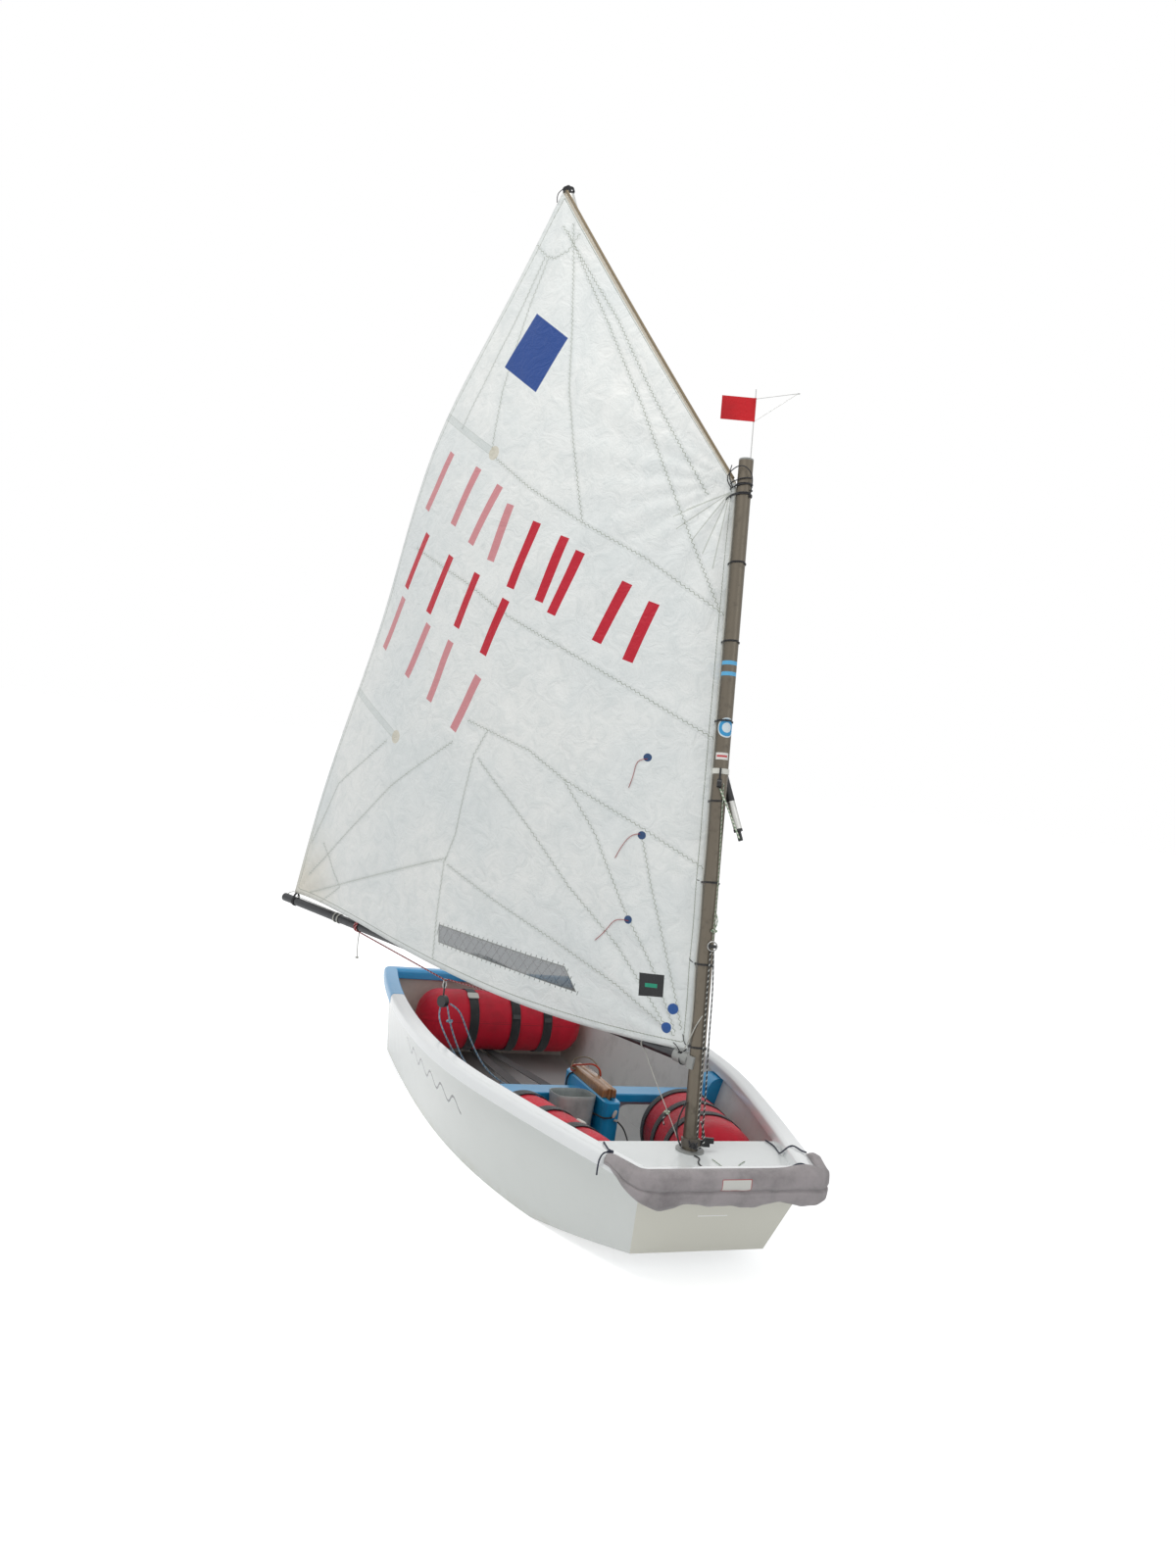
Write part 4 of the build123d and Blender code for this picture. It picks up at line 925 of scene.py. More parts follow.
def sail_surface(u, v):
    """u runs from luff to leech along an arc, v up the luff. The arc's chord ends on luff and leech, and its
    height is the belly at v."""
    leeward, upward, roach, sag = [through(sail_rows[:, 0], column, v)[..., None]
                                   for column in sail_rows.T[1:]]
    run = peak - clew
    leech_out = np.array([run[2], 0, -run[0]]) / np.hypot(run[0], run[2])
    luff = tack + (throat - tack) * v[..., None]
    leech = clew + run * v[..., None] + leech_out * roach + np.array([0, 1.0, 0]) * sag
    belly = np.array([0, 1.0, 0]) * leeward + np.array([0, 0, 1.0]) * upward
    chord = leech - luff
    wide = np.linalg.norm(chord, axis=-1, keepdims=True)
    high = np.linalg.norm(belly, axis=-1, keepdims=True)
    half = 2 * np.arctan(2 * high / wide)
    angle = (2 * u[..., None] - 1) * half
    radius = wide / 2 / np.sin(half)
    out = (np.cos(angle) - np.cos(half)) * radius / high
    return luff + chord * (0.5 + radius * np.sin(angle) / wide) + belly * out


v, u = np.meshgrid(np.linspace(0, 1, 190), np.linspace(0, 1, 170), indexing="ij")
cloth = sail_surface(u, v)
cloth[..., 2] += 0.46 * u ** 3 * (1 - u) * np.exp(-v / 0.10)
spread = np.gradient(cloth, axis=1)
climb = np.gradient(cloth, axis=0)
windward = np.cross(spread, climb)
windward = windward / np.linalg.norm(windward, axis=2, keepdims=True)
flat = cloth[..., [0, 2]].copy()
along_cloth = np.linalg.norm(np.diff(cloth, axis=1), axis=2).sum(1)[:, None]
up_cloth = np.linalg.norm(np.diff(cloth, axis=0), axis=2).sum(0)[None, :]
from_head = (1 - v) * up_cloth
from_edge = np.minimum.reduce([u * along_cloth, (1 - u) * along_cloth, v * up_cloth, from_head])
fan = np.zeros(u.shape)
for corner, reach, count, depth in ((tack, 0.55, 17, 0.0030), (clew, 0.60, 15, 0.0034),
                                    (throat, 0.50, 19, 0.0030), (peak, 0.70, 13, 0.0030)):
    away = flat - corner[[0, 2]]
    distance = np.hypot(away[..., 0], away[..., 1])
    crease = depth * np.sin(np.arctan2(away[..., 1], away[..., 0]) * count) * np.exp(-distance / reach)
    fan += crease * np.clip(distance / 0.1, 0, 1)
out_flat, up_flat = flat[..., 0], flat[..., 1]
ripple = 0.0018 * np.sin(out_flat * 19 + 2.1 * np.sin(up_flat * 7))
ripple = ripple * np.sin(up_flat * 15 + 1.3 * np.sin(out_flat * 5))
scallop = -0.004 * np.cos(v * 2 * np.pi * 7) * np.exp(-u * along_cloth / 0.05)
relief = 0.0012 + (fan + ripple) * np.clip(from_edge / 0.04, 0.15, 1) + scallop
cloth = cloth + windward * relief[..., None]
cloth = on_rig(cloth)

# each seam's points: out along the boom and up, on the flat cloth
seams = (
    ((0.620, 2.900), (0.590, 2.600), (0.562, 2.313), (0.466, 1.874)),
    ((0.640, 2.880), (0.453, 2.531), (0.313, 2.245), (0.186, 1.944), (0.043, 1.599)),
    ((0.660, 2.900), (0.424, 2.545), (0.292, 2.293), (0.103, 1.962)),
    ((0.844, 2.131), (0.675, 2.005), (0.466, 1.874), (0.254, 1.755), (0.030, 1.590)),
    ((1.250, 1.880), (0.900, 1.698), (0.719, 1.583), (0.497, 1.471), (0.283, 1.357), (0.030, 1.210)),
    ((0.875, 1.246), (0.606, 1.149), (0.477, 1.062), (0.215, 0.927), (0.030, 0.820)),
    ((0.783, 1.213), (0.841, 1.133), (0.921, 0.871), (0.981, 0.770), (1.046, 0.440)),
    ((0.824, 1.123), (0.601, 0.904), (0.452, 0.730), (0.280, 0.564), (0.100, 0.330)),
    ((0.477, 1.062), (0.365, 0.901), (0.266, 0.686), (0.166, 0.517), (0.080, 0.330)),
    ((0.215, 0.905), (0.183, 0.766), (0.110, 0.509), (0.060, 0.340)),
    ((0.966, 0.766), (0.739, 0.659), (0.505, 0.557), (0.275, 0.445), (0.080, 0.320)),
    ((1.850, 0.610), (1.263, 0.726), (0.967, 0.786)),
    ((1.860, 0.680), (1.278, 1.030), (0.944, 1.176)),
    ((1.862, 0.803), (1.674, 1.034), (1.329, 1.188)),
    ((0.732, 2.812), (0.858, 2.574), (1.040, 2.270)),
    ((0.714, 2.809), (0.778, 2.660), (0.852, 2.361), (0.860, 2.160)),
    ((1.754, 0.808), (1.619, 0.647), (1.804, 0.558)),
    ((0.785, 2.880), (0.760, 2.850), (0.721, 2.812), (0.681, 2.793), (0.632, 2.808), (0.590, 2.858)),
)
ray_tips = ((0.178, 1.850), (0.156, 1.913), (0.134, 1.814), (0.102, 1.777), (0.072, 1.731), (0.190, 1.890))
rays = tuple(((0.045, 1.971), tip) for tip in ray_tips)
battens = (((1.165, 2.352), (0.850, 2.146)), ((1.625, 1.402), (1.271, 1.199)))
dark_bars = (
    ((0.716, 1.675), (0.629, 1.884)), ((0.599, 1.625), (0.520, 1.829)), ((0.549, 1.582), (0.463, 1.779)),
    ((0.389, 1.493), (0.305, 1.678)), ((0.288, 1.435), (0.222, 1.617)), ((1.297, 1.740), (1.177, 1.916)),
    ((1.125, 1.628), (1.018, 1.813)), ((0.958, 1.562), (0.870, 1.735)), ((0.821, 1.463), (0.731, 1.637)),
)
faded_bars = (
    ((1.426, 1.533), (1.310, 1.706)), ((1.232, 1.413), (1.118, 1.586)), ((1.085, 1.319), (0.981, 1.515)),
    ((0.946, 1.215), (0.835, 1.389)), ((1.205, 2.010), (1.079, 2.190)), ((1.024, 1.923), (0.916, 2.104)),
    ((0.915, 1.841), (0.803, 2.026)), ((0.813, 1.773), (0.744, 1.954)),
)


def strokes(paint, flat, lines):
    """For every stretch of the lines: how far a point lies across it, how far along, and whether beside it.
    Each comes from one dot product of the flat cloth's coordinates with the stretch's direction."""
    found = []
    for first, last in lines:
        first, last = np.array(first), np.array(last)
        length = np.linalg.norm(last - first)
        way = (last - first) / length
        over = np.array([-way[1], way[0]])
        here = [paint.node("ShaderNodeVectorMath", {"operation": "DOT_PRODUCT"},
                           {0: flat, 1: (*direction.tolist(), 0.0)}, output=1) - float(direction @ first)
                for direction in (over, way)]
        beside = abs(here[1] - length / 2) < length / 2 + 0.0005
        found.append((here[0], here[1], beside))
    return found


def marked(paint, flat, lines, half):
    """1 on any of the lines, each half as wide as given to either side."""
    mark = None
    for over, on, beside in strokes(paint, flat, lines):
        here = beside * (abs(over) < half)
        mark = here if mark is None else mark.larger(here)
    return mark


def within(paint, flat, corners):
    """How far inside a polygon a point lies: the least of its distances to the edges, whose corners go round
    against the clock."""
    depth = None
    for over, on, beside in strokes(paint, flat, list(zip(corners, corners[1:] + corners[:1]))):
        depth = over if depth is None else depth.smaller(over)
    return depth


def spot(paint, flat, middle, radius):
    """1 inside a circle."""
    return paint.from_point(flat, middle) < radius


canvas = Paint("sailcloth", IOR=1.45, Sheen_Weight=0.1)
laid = canvas.pattern()
here = canvas.place()
seam_mark = stitch_mark = None
for line in seams:
    for over, on, beside in strokes(canvas, laid, list(zip(line[:-1], line[1:]))):
        lap = beside * (abs(over) < 0.0075)
        zigzag = abs((on * 62.0) % 1.0 - 0.5) * 0.0120 - 0.0030
        stitch = beside * (abs(over - zigzag) < 0.0012)
        seam_mark = lap if seam_mark is None else seam_mark.larger(lap)
        stitch_mark = stitch if stitch_mark is None else stitch_mark.larger(stitch)
ray_mark = marked(canvas, laid, rays, 0.0016)
batten_mark = marked(canvas, laid, battens, 0.013)
batten_edge = batten_mark - marked(canvas, laid, battens, 0.0112)
edge_run = canvas.node("ShaderNodeAttribute", {"attribute_name": "from_edge"}, output=2)
head_run = canvas.node("ShaderNodeAttribute", {"attribute_name": "from_head"}, output=2)
flat_x, flat_z = canvas.axes(laid)[:2]
hem = edge_run < 0.024
hem_stitch = abs(edge_run - 0.0205 - abs(((flat_x + flat_z * 1.3) * 80.0) % 1.0 - 0.5) * 0.003) < 0.0012
window = within(canvas, laid, [(0.466, 0.478), (0.423, 0.408), (1.011, 0.502), (1.005, 0.560)])
pane = window > 0.0
lattice = ((flat_x * 30.0 + flat_z * 26.0) % 1.0 < 0.10).larger((flat_x * 21.0 - flat_z * 17.0) % 1.0 < 0.05)
frame_line = abs(window) < 0.0022
diamond = within(canvas, laid, [(0.740, 2.617), (0.594, 2.502), (0.695, 2.331), (0.856, 2.451)])
badge = within(canvas, laid, [(0.204, 0.492), (0.125, 0.493), (0.124, 0.427), (0.202, 0.423)])
badge_bar = marked(canvas, laid, (((0.145, 0.458), (0.184, 0.457)),), 0.006)
crinkle = canvas.noise(here, 16.0, 4.0, 0.62, 1.4)
fine = canvas.noise(here, 70.0, 3.0, 0.6, 0.8)
tone = canvas.noise(here, 2.2, 3.0, 0.6)
near_clew = canvas.from_point(laid, (clew_out, 0.605))
batten_ends = ((0.850, 2.146), (1.271, 1.199))
yarn_patches = ((0.210, 1.142), (0.215, 0.905), (0.246, 0.647))
tack_patches = ((0.091, 0.397), (0.108, 0.339))
head_tape = (head_run < 0.017) * (flat_z > 2.0)
cross_stitch = abs(((flat_x + flat_z * 0.4) * 46.0) % 1.0 - 0.5) < 0.07
cross_stitch = (abs(abs(window) - 0.004) < 0.006) * cross_stitch
base = canvas.mix(tone.rise(0.3, 0.7), colour(230, 235, 235), colour(242, 244, 242))
for mask, shade in (
        # A darker grey laid over the crinkles, following the same noise as their relief: painted shade.
        (crinkle.rise(0.35, 0.75) * 0.40, colour(208, 216, 216)),
        ((1 - near_clew.rise(0.04, 0.42)) * tone.rise(0.2, 0.6) * 0.55, colour(214, 202, 176)),
        (seam_mark.larger(hem) * 0.25, colour(204, 211, 209)),
        (ray_mark.larger(batten_edge) * 0.6, colour(172, 178, 166)),
        (batten_mark * 0.5, colour(200, 208, 206)),
        (stitch_mark.larger(hem_stitch) * 0.8, colour(136, 142, 126)),
        *((spot(canvas, laid, middle, 0.024) * 0.6, colour(206, 196, 170)) for middle in batten_ends),
        (head_tape * 0.7, colour(176, 160, 132)),
        (marked(canvas, laid, dark_bars, 0.017), colour(192, 14, 44)),
        (marked(canvas, laid, faded_bars, 0.017) * 0.85, colour(205, 112, 120)),
        (diamond > 0.0, colour(18, 66, 140)),
        (badge > 0.0, colour(28, 30, 32)),
        (badge_bar, colour(30, 150, 118)),
        *((spot(canvas, laid, middle, 0.0125), colour(44, 74, 116)) for middle in yarn_patches),
        *((spot(canvas, laid, middle, 0.016), colour(36, 84, 152)) for middle in tack_patches),
        (pane * 0.92, canvas.mix(lattice * 0.85, colour(116, 122, 126), colour(40, 44, 48))),
        (frame_line.larger(cross_stitch) * 0.75, colour(92, 96, 92))):
    base = canvas.mix(mask, base, shade)
canvas.finish(base, fine * 0.15 + 0.42 - pane * 0.25, crinkle * 0.9 + fine * 0.25 + seam_mark * 0.2, 0.0055,
              Alpha=1 - pane * 0.35)
sail = surface("main_sail", "rig", cloth, canvas, pattern=flat)
for label, value in (("from_edge", from_edge), ("from_head", from_head)):
    kept = sail.data.attributes.new(label, "FLOAT", "POINT")
    kept.data.foreach_set("value", value.reshape(-1).astype(np.float32))
solid = sail.modifiers.new("cloth", "SOLIDIFY")
solid.thickness = 0.0010
solid.offset = 0.0
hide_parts("sail")


# Edge ropes and yarns of the sail: a white rope in the luff, a tan one along the head,
# and three red wool yarns that stream from the round patches.
def smooth_path(points, steps=60):
    """Points on a natural cubic through the given ones, evenly spaced by the length of the runs between."""
    points = np.array(points, float)
    reach = np.concatenate([[0], np.linalg.norm(np.diff(points, axis=0), axis=1).cumsum()])
    at = np.linspace(0, reach[-1], steps)
    return np.stack([through(reach, points[:, i], at) for i in range(3)], 1)


def rope(name, body, path, radius, paint, sides=10):
    """A round cord: at each point of the path a circle square to it, set out from the direction that the
    path follows least, so that it never twists."""
    path = np.array(path, float)
    way = np.gradient(path, axis=0)
    way = way / np.linalg.norm(way, axis=1, keepdims=True)
    fixed = np.linalg.eigh(way.T @ way)[1][:, 0]
    side = np.cross(way, fixed)
    side = side / np.linalg.norm(side, axis=1, keepdims=True)
    lift = np.cross(side, way)
    turned = np.linspace(0, 2 * np.pi, sides + 1)
    ring = side[:, None] * np.cos(turned[:-1])[:, None] + lift[:, None] * np.sin(turned[:-1])[:, None]
    points = path[:, None] + ring * np.reshape(radius, (-1, 1, 1))
    reach = np.concatenate([[0], np.linalg.norm(np.diff(path, axis=0), axis=1).cumsum()])
    pattern = np.stack(np.broadcast_arrays(turned[None, :] / (2 * np.pi), reach[:, None]), -1)
    made = surface(name, body, points, paint, around=True, capped=True, pattern=pattern)
    return made


def lead(name, points, steps, radius, paint, sides=8):
    """A cord of the rig that runs through points in the rig's own lines."""
    return rope(name, "rig", on_rig(smooth_path(points, steps)), radius, paint, sides)


def braid(name, shade, thick, fleck=None, every=0.0):
    """Braided rope: crossing strands as the product of two sine waves that wind opposite ways, with painted
    shade in the grooves between them, dirt, and flecks on some strands."""
    cord = Paint(name, IOR=1.45, Sheen_Weight=0.2)
    around, on = cord.axes(cord.pattern())[:2]
    turned, pitch = around * 4.0, on / (thick * 1.6)
    one, two = turned + pitch, turned - pitch
    cross = (one * (2 * np.pi)).sine() * (two * (2 * np.pi)).sine() * 0.5 + 0.5
    dirt = cord.noise(cord.place(), 60.0, 3.0, 0.6)
    # Darker where the strand pattern dips, in the grooves between strands: painted shade, mixed with real
    # dirt.
    base = cord.mix(cross * 0.6 + dirt * 0.4, tinted(shade, 0.45), shade)
    if fleck:
        base = cord.mix((pitch * 0.5 + around) % 1.0 < every, base, fleck)
    cord.finish(base, 0.68, cross, thick * 0.12)
    return cord


black_cord = braid("black_cord", colour(40, 40, 44), 0.003)
white_cord = braid("white_cord", colour(224, 224, 216), 0.003)
red_rope = braid("red_rope", colour(176, 40, 46), 0.005, colour(225, 190, 190), 0.25)
tan_rope = braid("tan_rope", colour(160, 142, 112), 0.006)
yarn = braid("red_yarn", colour(190, 60, 60), 0.002)
sheet_line = braid("sheet_line", colour(188, 206, 216), 0.006, colour(92, 140, 176), 0.35)
green_line = braid("green_line", colour(216, 222, 204), 0.004, colour(84, 128, 90), 0.35)
fleck_line = braid("fleck_line", colour(34, 35, 36), 0.005, colour(200, 204, 200), 0.28)
orange_line = braid("orange_line", colour(218, 74, 40), 0.004)
navy_line = braid("navy_line", colour(40, 46, 70), 0.004)

rope("head_rope", "rig", cloth[-1, 2:] + to_lee * 0.001, 0.0040, tan_rope)
rope("luff_rope", "rig", cloth[2:-2, 0], 0.0030, white_cord)


def on_sail(x, z):
    """The point of the cloth nearest to x, z of the flat cloth, lifted a little to leeward."""
    nearest = np.argmin(np.hypot(flat[..., 0] - x, flat[..., 1] - z))
    return cloth.reshape(-1, 3)[nearest] + to_lee * 0.0025


for number, line in enumerate((((0.210, 1.142), (0.232, 1.130), (0.250, 1.095), (0.263, 1.048)),
                               ((0.215, 0.905), (0.242, 0.905), (0.270, 0.870), (0.294, 0.826)),
                               ((0.246, 0.647), (0.280, 0.645), (0.320, 0.612), (0.357, 0.578)))):
    rope(f"yarn_{number}", "rig", smooth_path([on_sail(*point) for point in line], 24), 0.0009, yarn, 6)


# Lashings of the sail: thin cord wound twice round the mast through each luff eyelet, with
# short tails, heavier turns at throat and peak, and ties at tack and clew.
def winding(middle, axis, toward, radius, turns, pitch, reach=0.0, wide=0.35):
    """Turns of cord about an axis, in the rig's own lines: a helix whose radius grows by reach on the side
    that it is drawn toward."""
    axis, toward = np.array(axis, float), np.array(toward, float)
    side = np.cross(axis, toward)
    angle = np.linspace(-np.pi, (2 * turns - 1) * np.pi, 48 * turns)
    near_side = np.arctan2(np.sin(angle), np.cos(angle))
    out = radius + reach * np.exp(-(near_side / wide) ** 2)
    rise = (angle / (2 * np.pi) - turns / 2 + 0.5) * pitch
    turned = toward * np.cos(angle)[:, None] + side * np.sin(angle)[:, None]
    return on_rig(middle + axis * rise[:, None] + turned * out[:, None])


def knot(name, body, middle, axes, size, radius, paint):
    """An overhand knot: a trefoil, sin t + 2 sin 2t across and cos t - 2 cos 2t along, with sin 3t for its
    depth."""
    t = np.linspace(0, 2 * np.pi, 72)
    shape = np.stack([np.sin(t) + 2 * np.sin(2 * t), np.cos(t) - 2 * np.cos(2 * t), -np.sin(3 * t)], 1) / 3
    return rope(name, body, shape * size @ np.array(axes, float) + middle, radius, paint)


tie_heights = tack_up + 0.014 + (throat_up - tack_up - 0.028) * np.arange(8) / 7
for number, height in enumerate(tie_heights):
    path = winding((0, 0, height), (0, 0, 1), (1, 0, 0), 0.0242, 2, 0.0032, 0.0110)
    tie = rope(f"luff_tie_{number}", "rig", path, 0.0013, black_cord, 8)
    if number == 0:
        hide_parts("luff_ties")
    lean_out = 0.010 * np.sin(2.3 * number + 1)
    tail = [(0.036, 0.000, height + 0.001), (0.041, 0.006, height + 0.004),
            (0.049, 0.008, height + 0.012 + lean_out), (0.055, 0.005, height + 0.024 + lean_out)]
    lead(f"luff_tail_{number}", tail, 20, 0.0012, black_cord, 6)

throat_axes = [(1, 0, 0), (0, 1, 0), (0, 0, 1)]
for number, (height, reach, pitch) in enumerate(((1.958, 0.020, 0.004), (1.990, 0.022, 0.018))):
    path = winding((0, 0, height), (0, 0, 1), (1, 0, 0), 0.0250, 2, pitch, reach, 0.6)
    rope(f"throat_lashing_{number}", "rig", path, 0.0019, black_cord, 8)
loose = [(0.040, 0.010, 1.985), (0.046, 0.026, 2.010), (0.020, 0.034, 2.034), (-0.014, 0.033, 2.038),
         (-0.033, 0.018, 2.018), (-0.030, 0.004, 1.980), (-0.024, 0.004, 1.946)]
lead("throat_loop", loose, 70, 0.0017, black_cord)
loose = [(0.034, 0.010, 1.985), (0.044, 0.018, 2.020), (0.036, 0.022, 2.052)]
lead("throat_tail_up", loose, 24, 0.0016, black_cord)
loose = [(0.036, 0.006, 1.966), (0.052, 0.012, 1.952), (0.062, 0.010, 1.936)]
lead("throat_tail_low", loose, 24, 0.0016, black_cord)
peak_mid = sprit_tip - sprit_way * 0.020
across_sprit = unit(np.cross(sprit_way, (0, 1.0, 0)))
path = winding(peak_mid, sprit_way, np.cross(across_sprit, sprit_way), 0.0165, 3, 0.0045, 0.010, 0.6)
rope("peak_lashing", "rig", path, 0.0019, black_cord, 8)
loose = peak_mid + [(0.012, 0.018, 0.004), (0.024, 0.026, -0.012), (0.030, 0.022, -0.040)]
lead("peak_tail", loose, 24, 0.0015, black_cord)
boom_way = np.array([np.cos(rise), 0, np.sin(rise)])
boom_over = np.array([-np.sin(rise), 0, np.cos(rise)])


def on_boom(reach, aside=0.0, above=0.0):
    """A point beside the boom's axis, in the rig's own lines."""
    return np.array([0, 0, boom_root]) + boom_way * reach + (0, aside, 0) + boom_over * above


clew_reach = clew_out / np.cos(rise)
path = winding(on_boom(clew_reach - 0.014), boom_way, boom_over, 0.0178, 3, 0.0042, 0.014, 0.5)
clew_loop = rope("clew_lashing", "rig", path, 0.0016, black_cord, 8)
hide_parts("clew_tie")
run = [clew + (0.000, 0.002, 0.004), on_boom(clew_reach + 0.030, 0.003, 0.024), on_boom(2.050, 0.002, 0.008)]
lead("outhaul", run, 30, 0.0016, white_cord)
for number, reach in enumerate((1.700, 1.722)):
    path = winding(on_boom(reach), boom_way, boom_over, 0.0177, 2, 0.0035)
    rope(f"outhaul_hitch_{number}", "rig", path, 0.0016, white_cord, 8)
run = [on_boom(1.722, 0.004, 0.0185), on_boom(1.85, 0.004, 0.0195), on_boom(clew_reach - 0.02, 0.003, 0.021)]
lead("outhaul_run", run, 30, 0.0014, white_cord)
tack_tie = [(0.034, 0.001, 0.290), (0.046, 0.010, 0.276), (0.050, 0.018, 0.262), (0.050, 0.016, 0.246),
            (0.046, -0.004, 0.240)]
lead("tack_tie", tack_tie, 40, 0.0019, black_cord)
knot("tack_knot", "rig", on_rig((0.052, 0.014, 0.276)), throat_axes, 0.0060, 0.0017, black_cord)
lead("tack_tail", [(0.054, 0.014, 0.278), (0.066, 0.018, 0.294), (0.078, 0.016, 0.300)], 20, 0.0015,
     black_cord)


# Vang and downhaul: a thin white line from the boom to the mast's foot, ending in a
# flecked knot, and a short white line from the jaw round the mast.
vang = [on_boom(0.195, 0.002, -0.0165), (0.145, 0.003, 0.184), (0.086, 0.006, 0.098), (0.036, 0.016, 0.030)]
lead("vang", vang, 50, 0.0013, white_cord)
path = winding(on_boom(0.197), boom_way, boom_over, 0.0175, 2, 0.0032)
rope("vang_hitch", "rig", path, 0.0013, white_cord, 8)
knot("vang_knot", "rig", on_rig((0.088, 0.006, 0.094)), throat_axes, 0.0085, 0.0026, green_line)
lead("vang_tail", [(0.086, 0.008, 0.090), (0.094, 0.012, 0.072), (0.088, 0.012, 0.056)], 20, 0.0022,
     fleck_line)
downhaul = [(0.036, 0.018, 0.288), (0.018, 0.022, 0.318), (-0.006, 0.0245, 0.366), (-0.018, 0.017, 0.392)]
lead("downhaul", downhaul, 40, 0.0017, white_cord)


# Sprit tackle and mast lines: the snotter runs from the heel block to a ring block low on
# the mast, and two flecked lines come down from it to the cleat.
off_mast = np.array([sticker_aft, sticker_lee, 0])
aside_mast = np.array([-sticker_lee, sticker_aft, 0])


def by_mast(aside, off, height):
    """A point near the mast's sticker side: aside along it, off its axis, and up."""
    return off_mast * off + aside_mast * aside + (0, 0, height)


line = [by_mast(0.012, 0.026, 1.075), by_mast(0.015, 0.0215, 0.950), by_mast(0.019, 0.0195, 0.800),
        by_mast(0.018, 0.0205, 0.660), by_mast(0.018, 0.022, 0.612)]
lead("snotter_fall", line, 60, 0.0015, green_line)
knot("snotter_knot", "rig", on_rig(by_mast(0.019, 0.024, 0.640)), throat_axes, 0.0080, 0.0024, green_line)
line = [by_mast(0.020, 0.025, 0.644), by_mast(0.026, 0.026, 0.668), by_mast(0.022, 0.025, 0.690)]
lead("snotter_tail", line, 20, 0.0020, green_line)
pebble("ring_block", "rig", on_rig(by_mast(0.018, 0.027, 0.595)),
       square_to(on_rig(by_mast(1, 0, 0)) - mast_foot, mast_up), (0.013, 0.005, 0.017), black_plastic, 0.5)
path = winding(by_mast(0.018, 0.027, 0.595), off_mast, (0, 0, 1), 0.0135, 1, 0.0)
rope("ring_block_ring", "rig", path, 0.0022, stainless, 8)
for label, points in (
        ("left", ((0.014, 0.027, 0.582), (0.013, 0.026, 0.480), (0.015, 0.025, 0.325),
                  (0.018, 0.024, 0.160), (0.018, 0.027, 0.046))),
        ("right", ((0.022, 0.026, 0.582), (0.028, 0.018, 0.480), (0.030, 0.014, 0.325),
                   (0.033, 0.010, 0.160), (0.033, 0.012, 0.040)))):
    lead("mast_line_" + label, [by_mast(*point) for point in points], 90, 0.0023, fleck_line)
for label, points in (
        ("port", ((0.026, 0.022, 0.090), (0.036, 0.016, 0.060), (0.036, 0.016, 0.022),
                  (0.026, 0.026, 0.012))),
        ("starboard", ((-0.020, 0.018, 0.140), (-0.037, 0.014, 0.095), (-0.040, 0.016, 0.045),
                       (-0.026, 0.026, 0.014))),
        ("middle", ((0.020, 0.030, 0.030), (0.010, 0.040, 0.018), (0.002, 0.034, 0.020),
                    (-0.004, 0.030, 0.034)))):
    lead("cleat_loop_" + label, [by_mast(*point) for point in points], 36, 0.0027,
         fleck_line if label == "port" else black_cord)
knot("cleat_knot", "rig", on_rig(by_mast(0.012, 0.036, 0.018)), throat_axes, 0.0090, 0.0027, black_cord)
tail = [by_mast(0.014, 0.036, 0.020), by_mast(0.010, 0.042, 0.030), by_mast(0.003, 0.041, 0.026),
        by_mast(-0.002, 0.038, 0.018)]
lead("cleat_tail", tail, 24, 0.0022, black_cord)
tail = [(0.936, -0.010, 0.3190), (0.956, -0.004, 0.3188), (0.982, -0.020, 0.3188), (1.020, -0.028, 0.3188)]
rope("deck_tail", "hull", smooth_path(tail, 40), 0.0022, black_cord, 8)


# Main sheet: a red bridle under the boom carries the upper block, and the flecked sheet
# goes down from it to the block on the floor, its last fall slack.
bridle_out = 1.077
bridle_low = np.array([bridle_out, 0, boom_root + bridle_out * np.tan(rise) - 0.064])
legs = [on_boom(1.583, 0, -0.0192), bridle_low + (0.014, 0, 0.0045), bridle_low + (-0.014, 0, 0.0045),
        on_boom(0.620, 0, -0.0192)]
path = np.vstack([np.linspace(legs[0], legs[1], 30), smooth_path([legs[1], bridle_low, legs[2]], 12)[1:-1],
                  np.linspace(legs[2], legs[3], 30)])
bridle = rope("sheet_bridle_rope", "rig", on_rig(path), 0.0026, red_rope, 10)
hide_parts("sheet_bridle")
for number, reach in enumerate((1.583, 0.620)):
    path = winding(on_boom(reach), boom_way, -boom_over, 0.0188, 3, 0.0056)
    rope(f"bridle_hitch_{number}", "rig", path, 0.0026, red_rope, 8)
tail = [on_boom(1.572, 0.002, -0.020), on_boom(1.566, 0.004, -0.060), on_boom(1.556, 0.002, -0.110)]
lead("bridle_tail", tail, 30, 0.0017, white_cord)
tail_end = on_rig(on_boom(1.556, 0.002, -0.112))
knot("bridle_tail_knot", "rig", tail_end, throat_axes, 0.0055, 0.0018, white_cord)
dress("boom_block", black_plastic)
shackle = winding(bridle_low - (0, 0, 0.020), (0, 1, 0), (0, 0, 1), 0.0075, 1, 0.0, 0.008, 0.8)
rope("sheet_shackle", "rig", shackle, 0.0018, stainless, 8)
shackle = winding(bridle_low - (0, 0, 0.004), (1, 0, 0), (0, 0, 1), 0.0060, 1, 0.0, 0.003, 0.8)
rope("bridle_ring", "rig", shackle, 0.0017, stainless, 8)
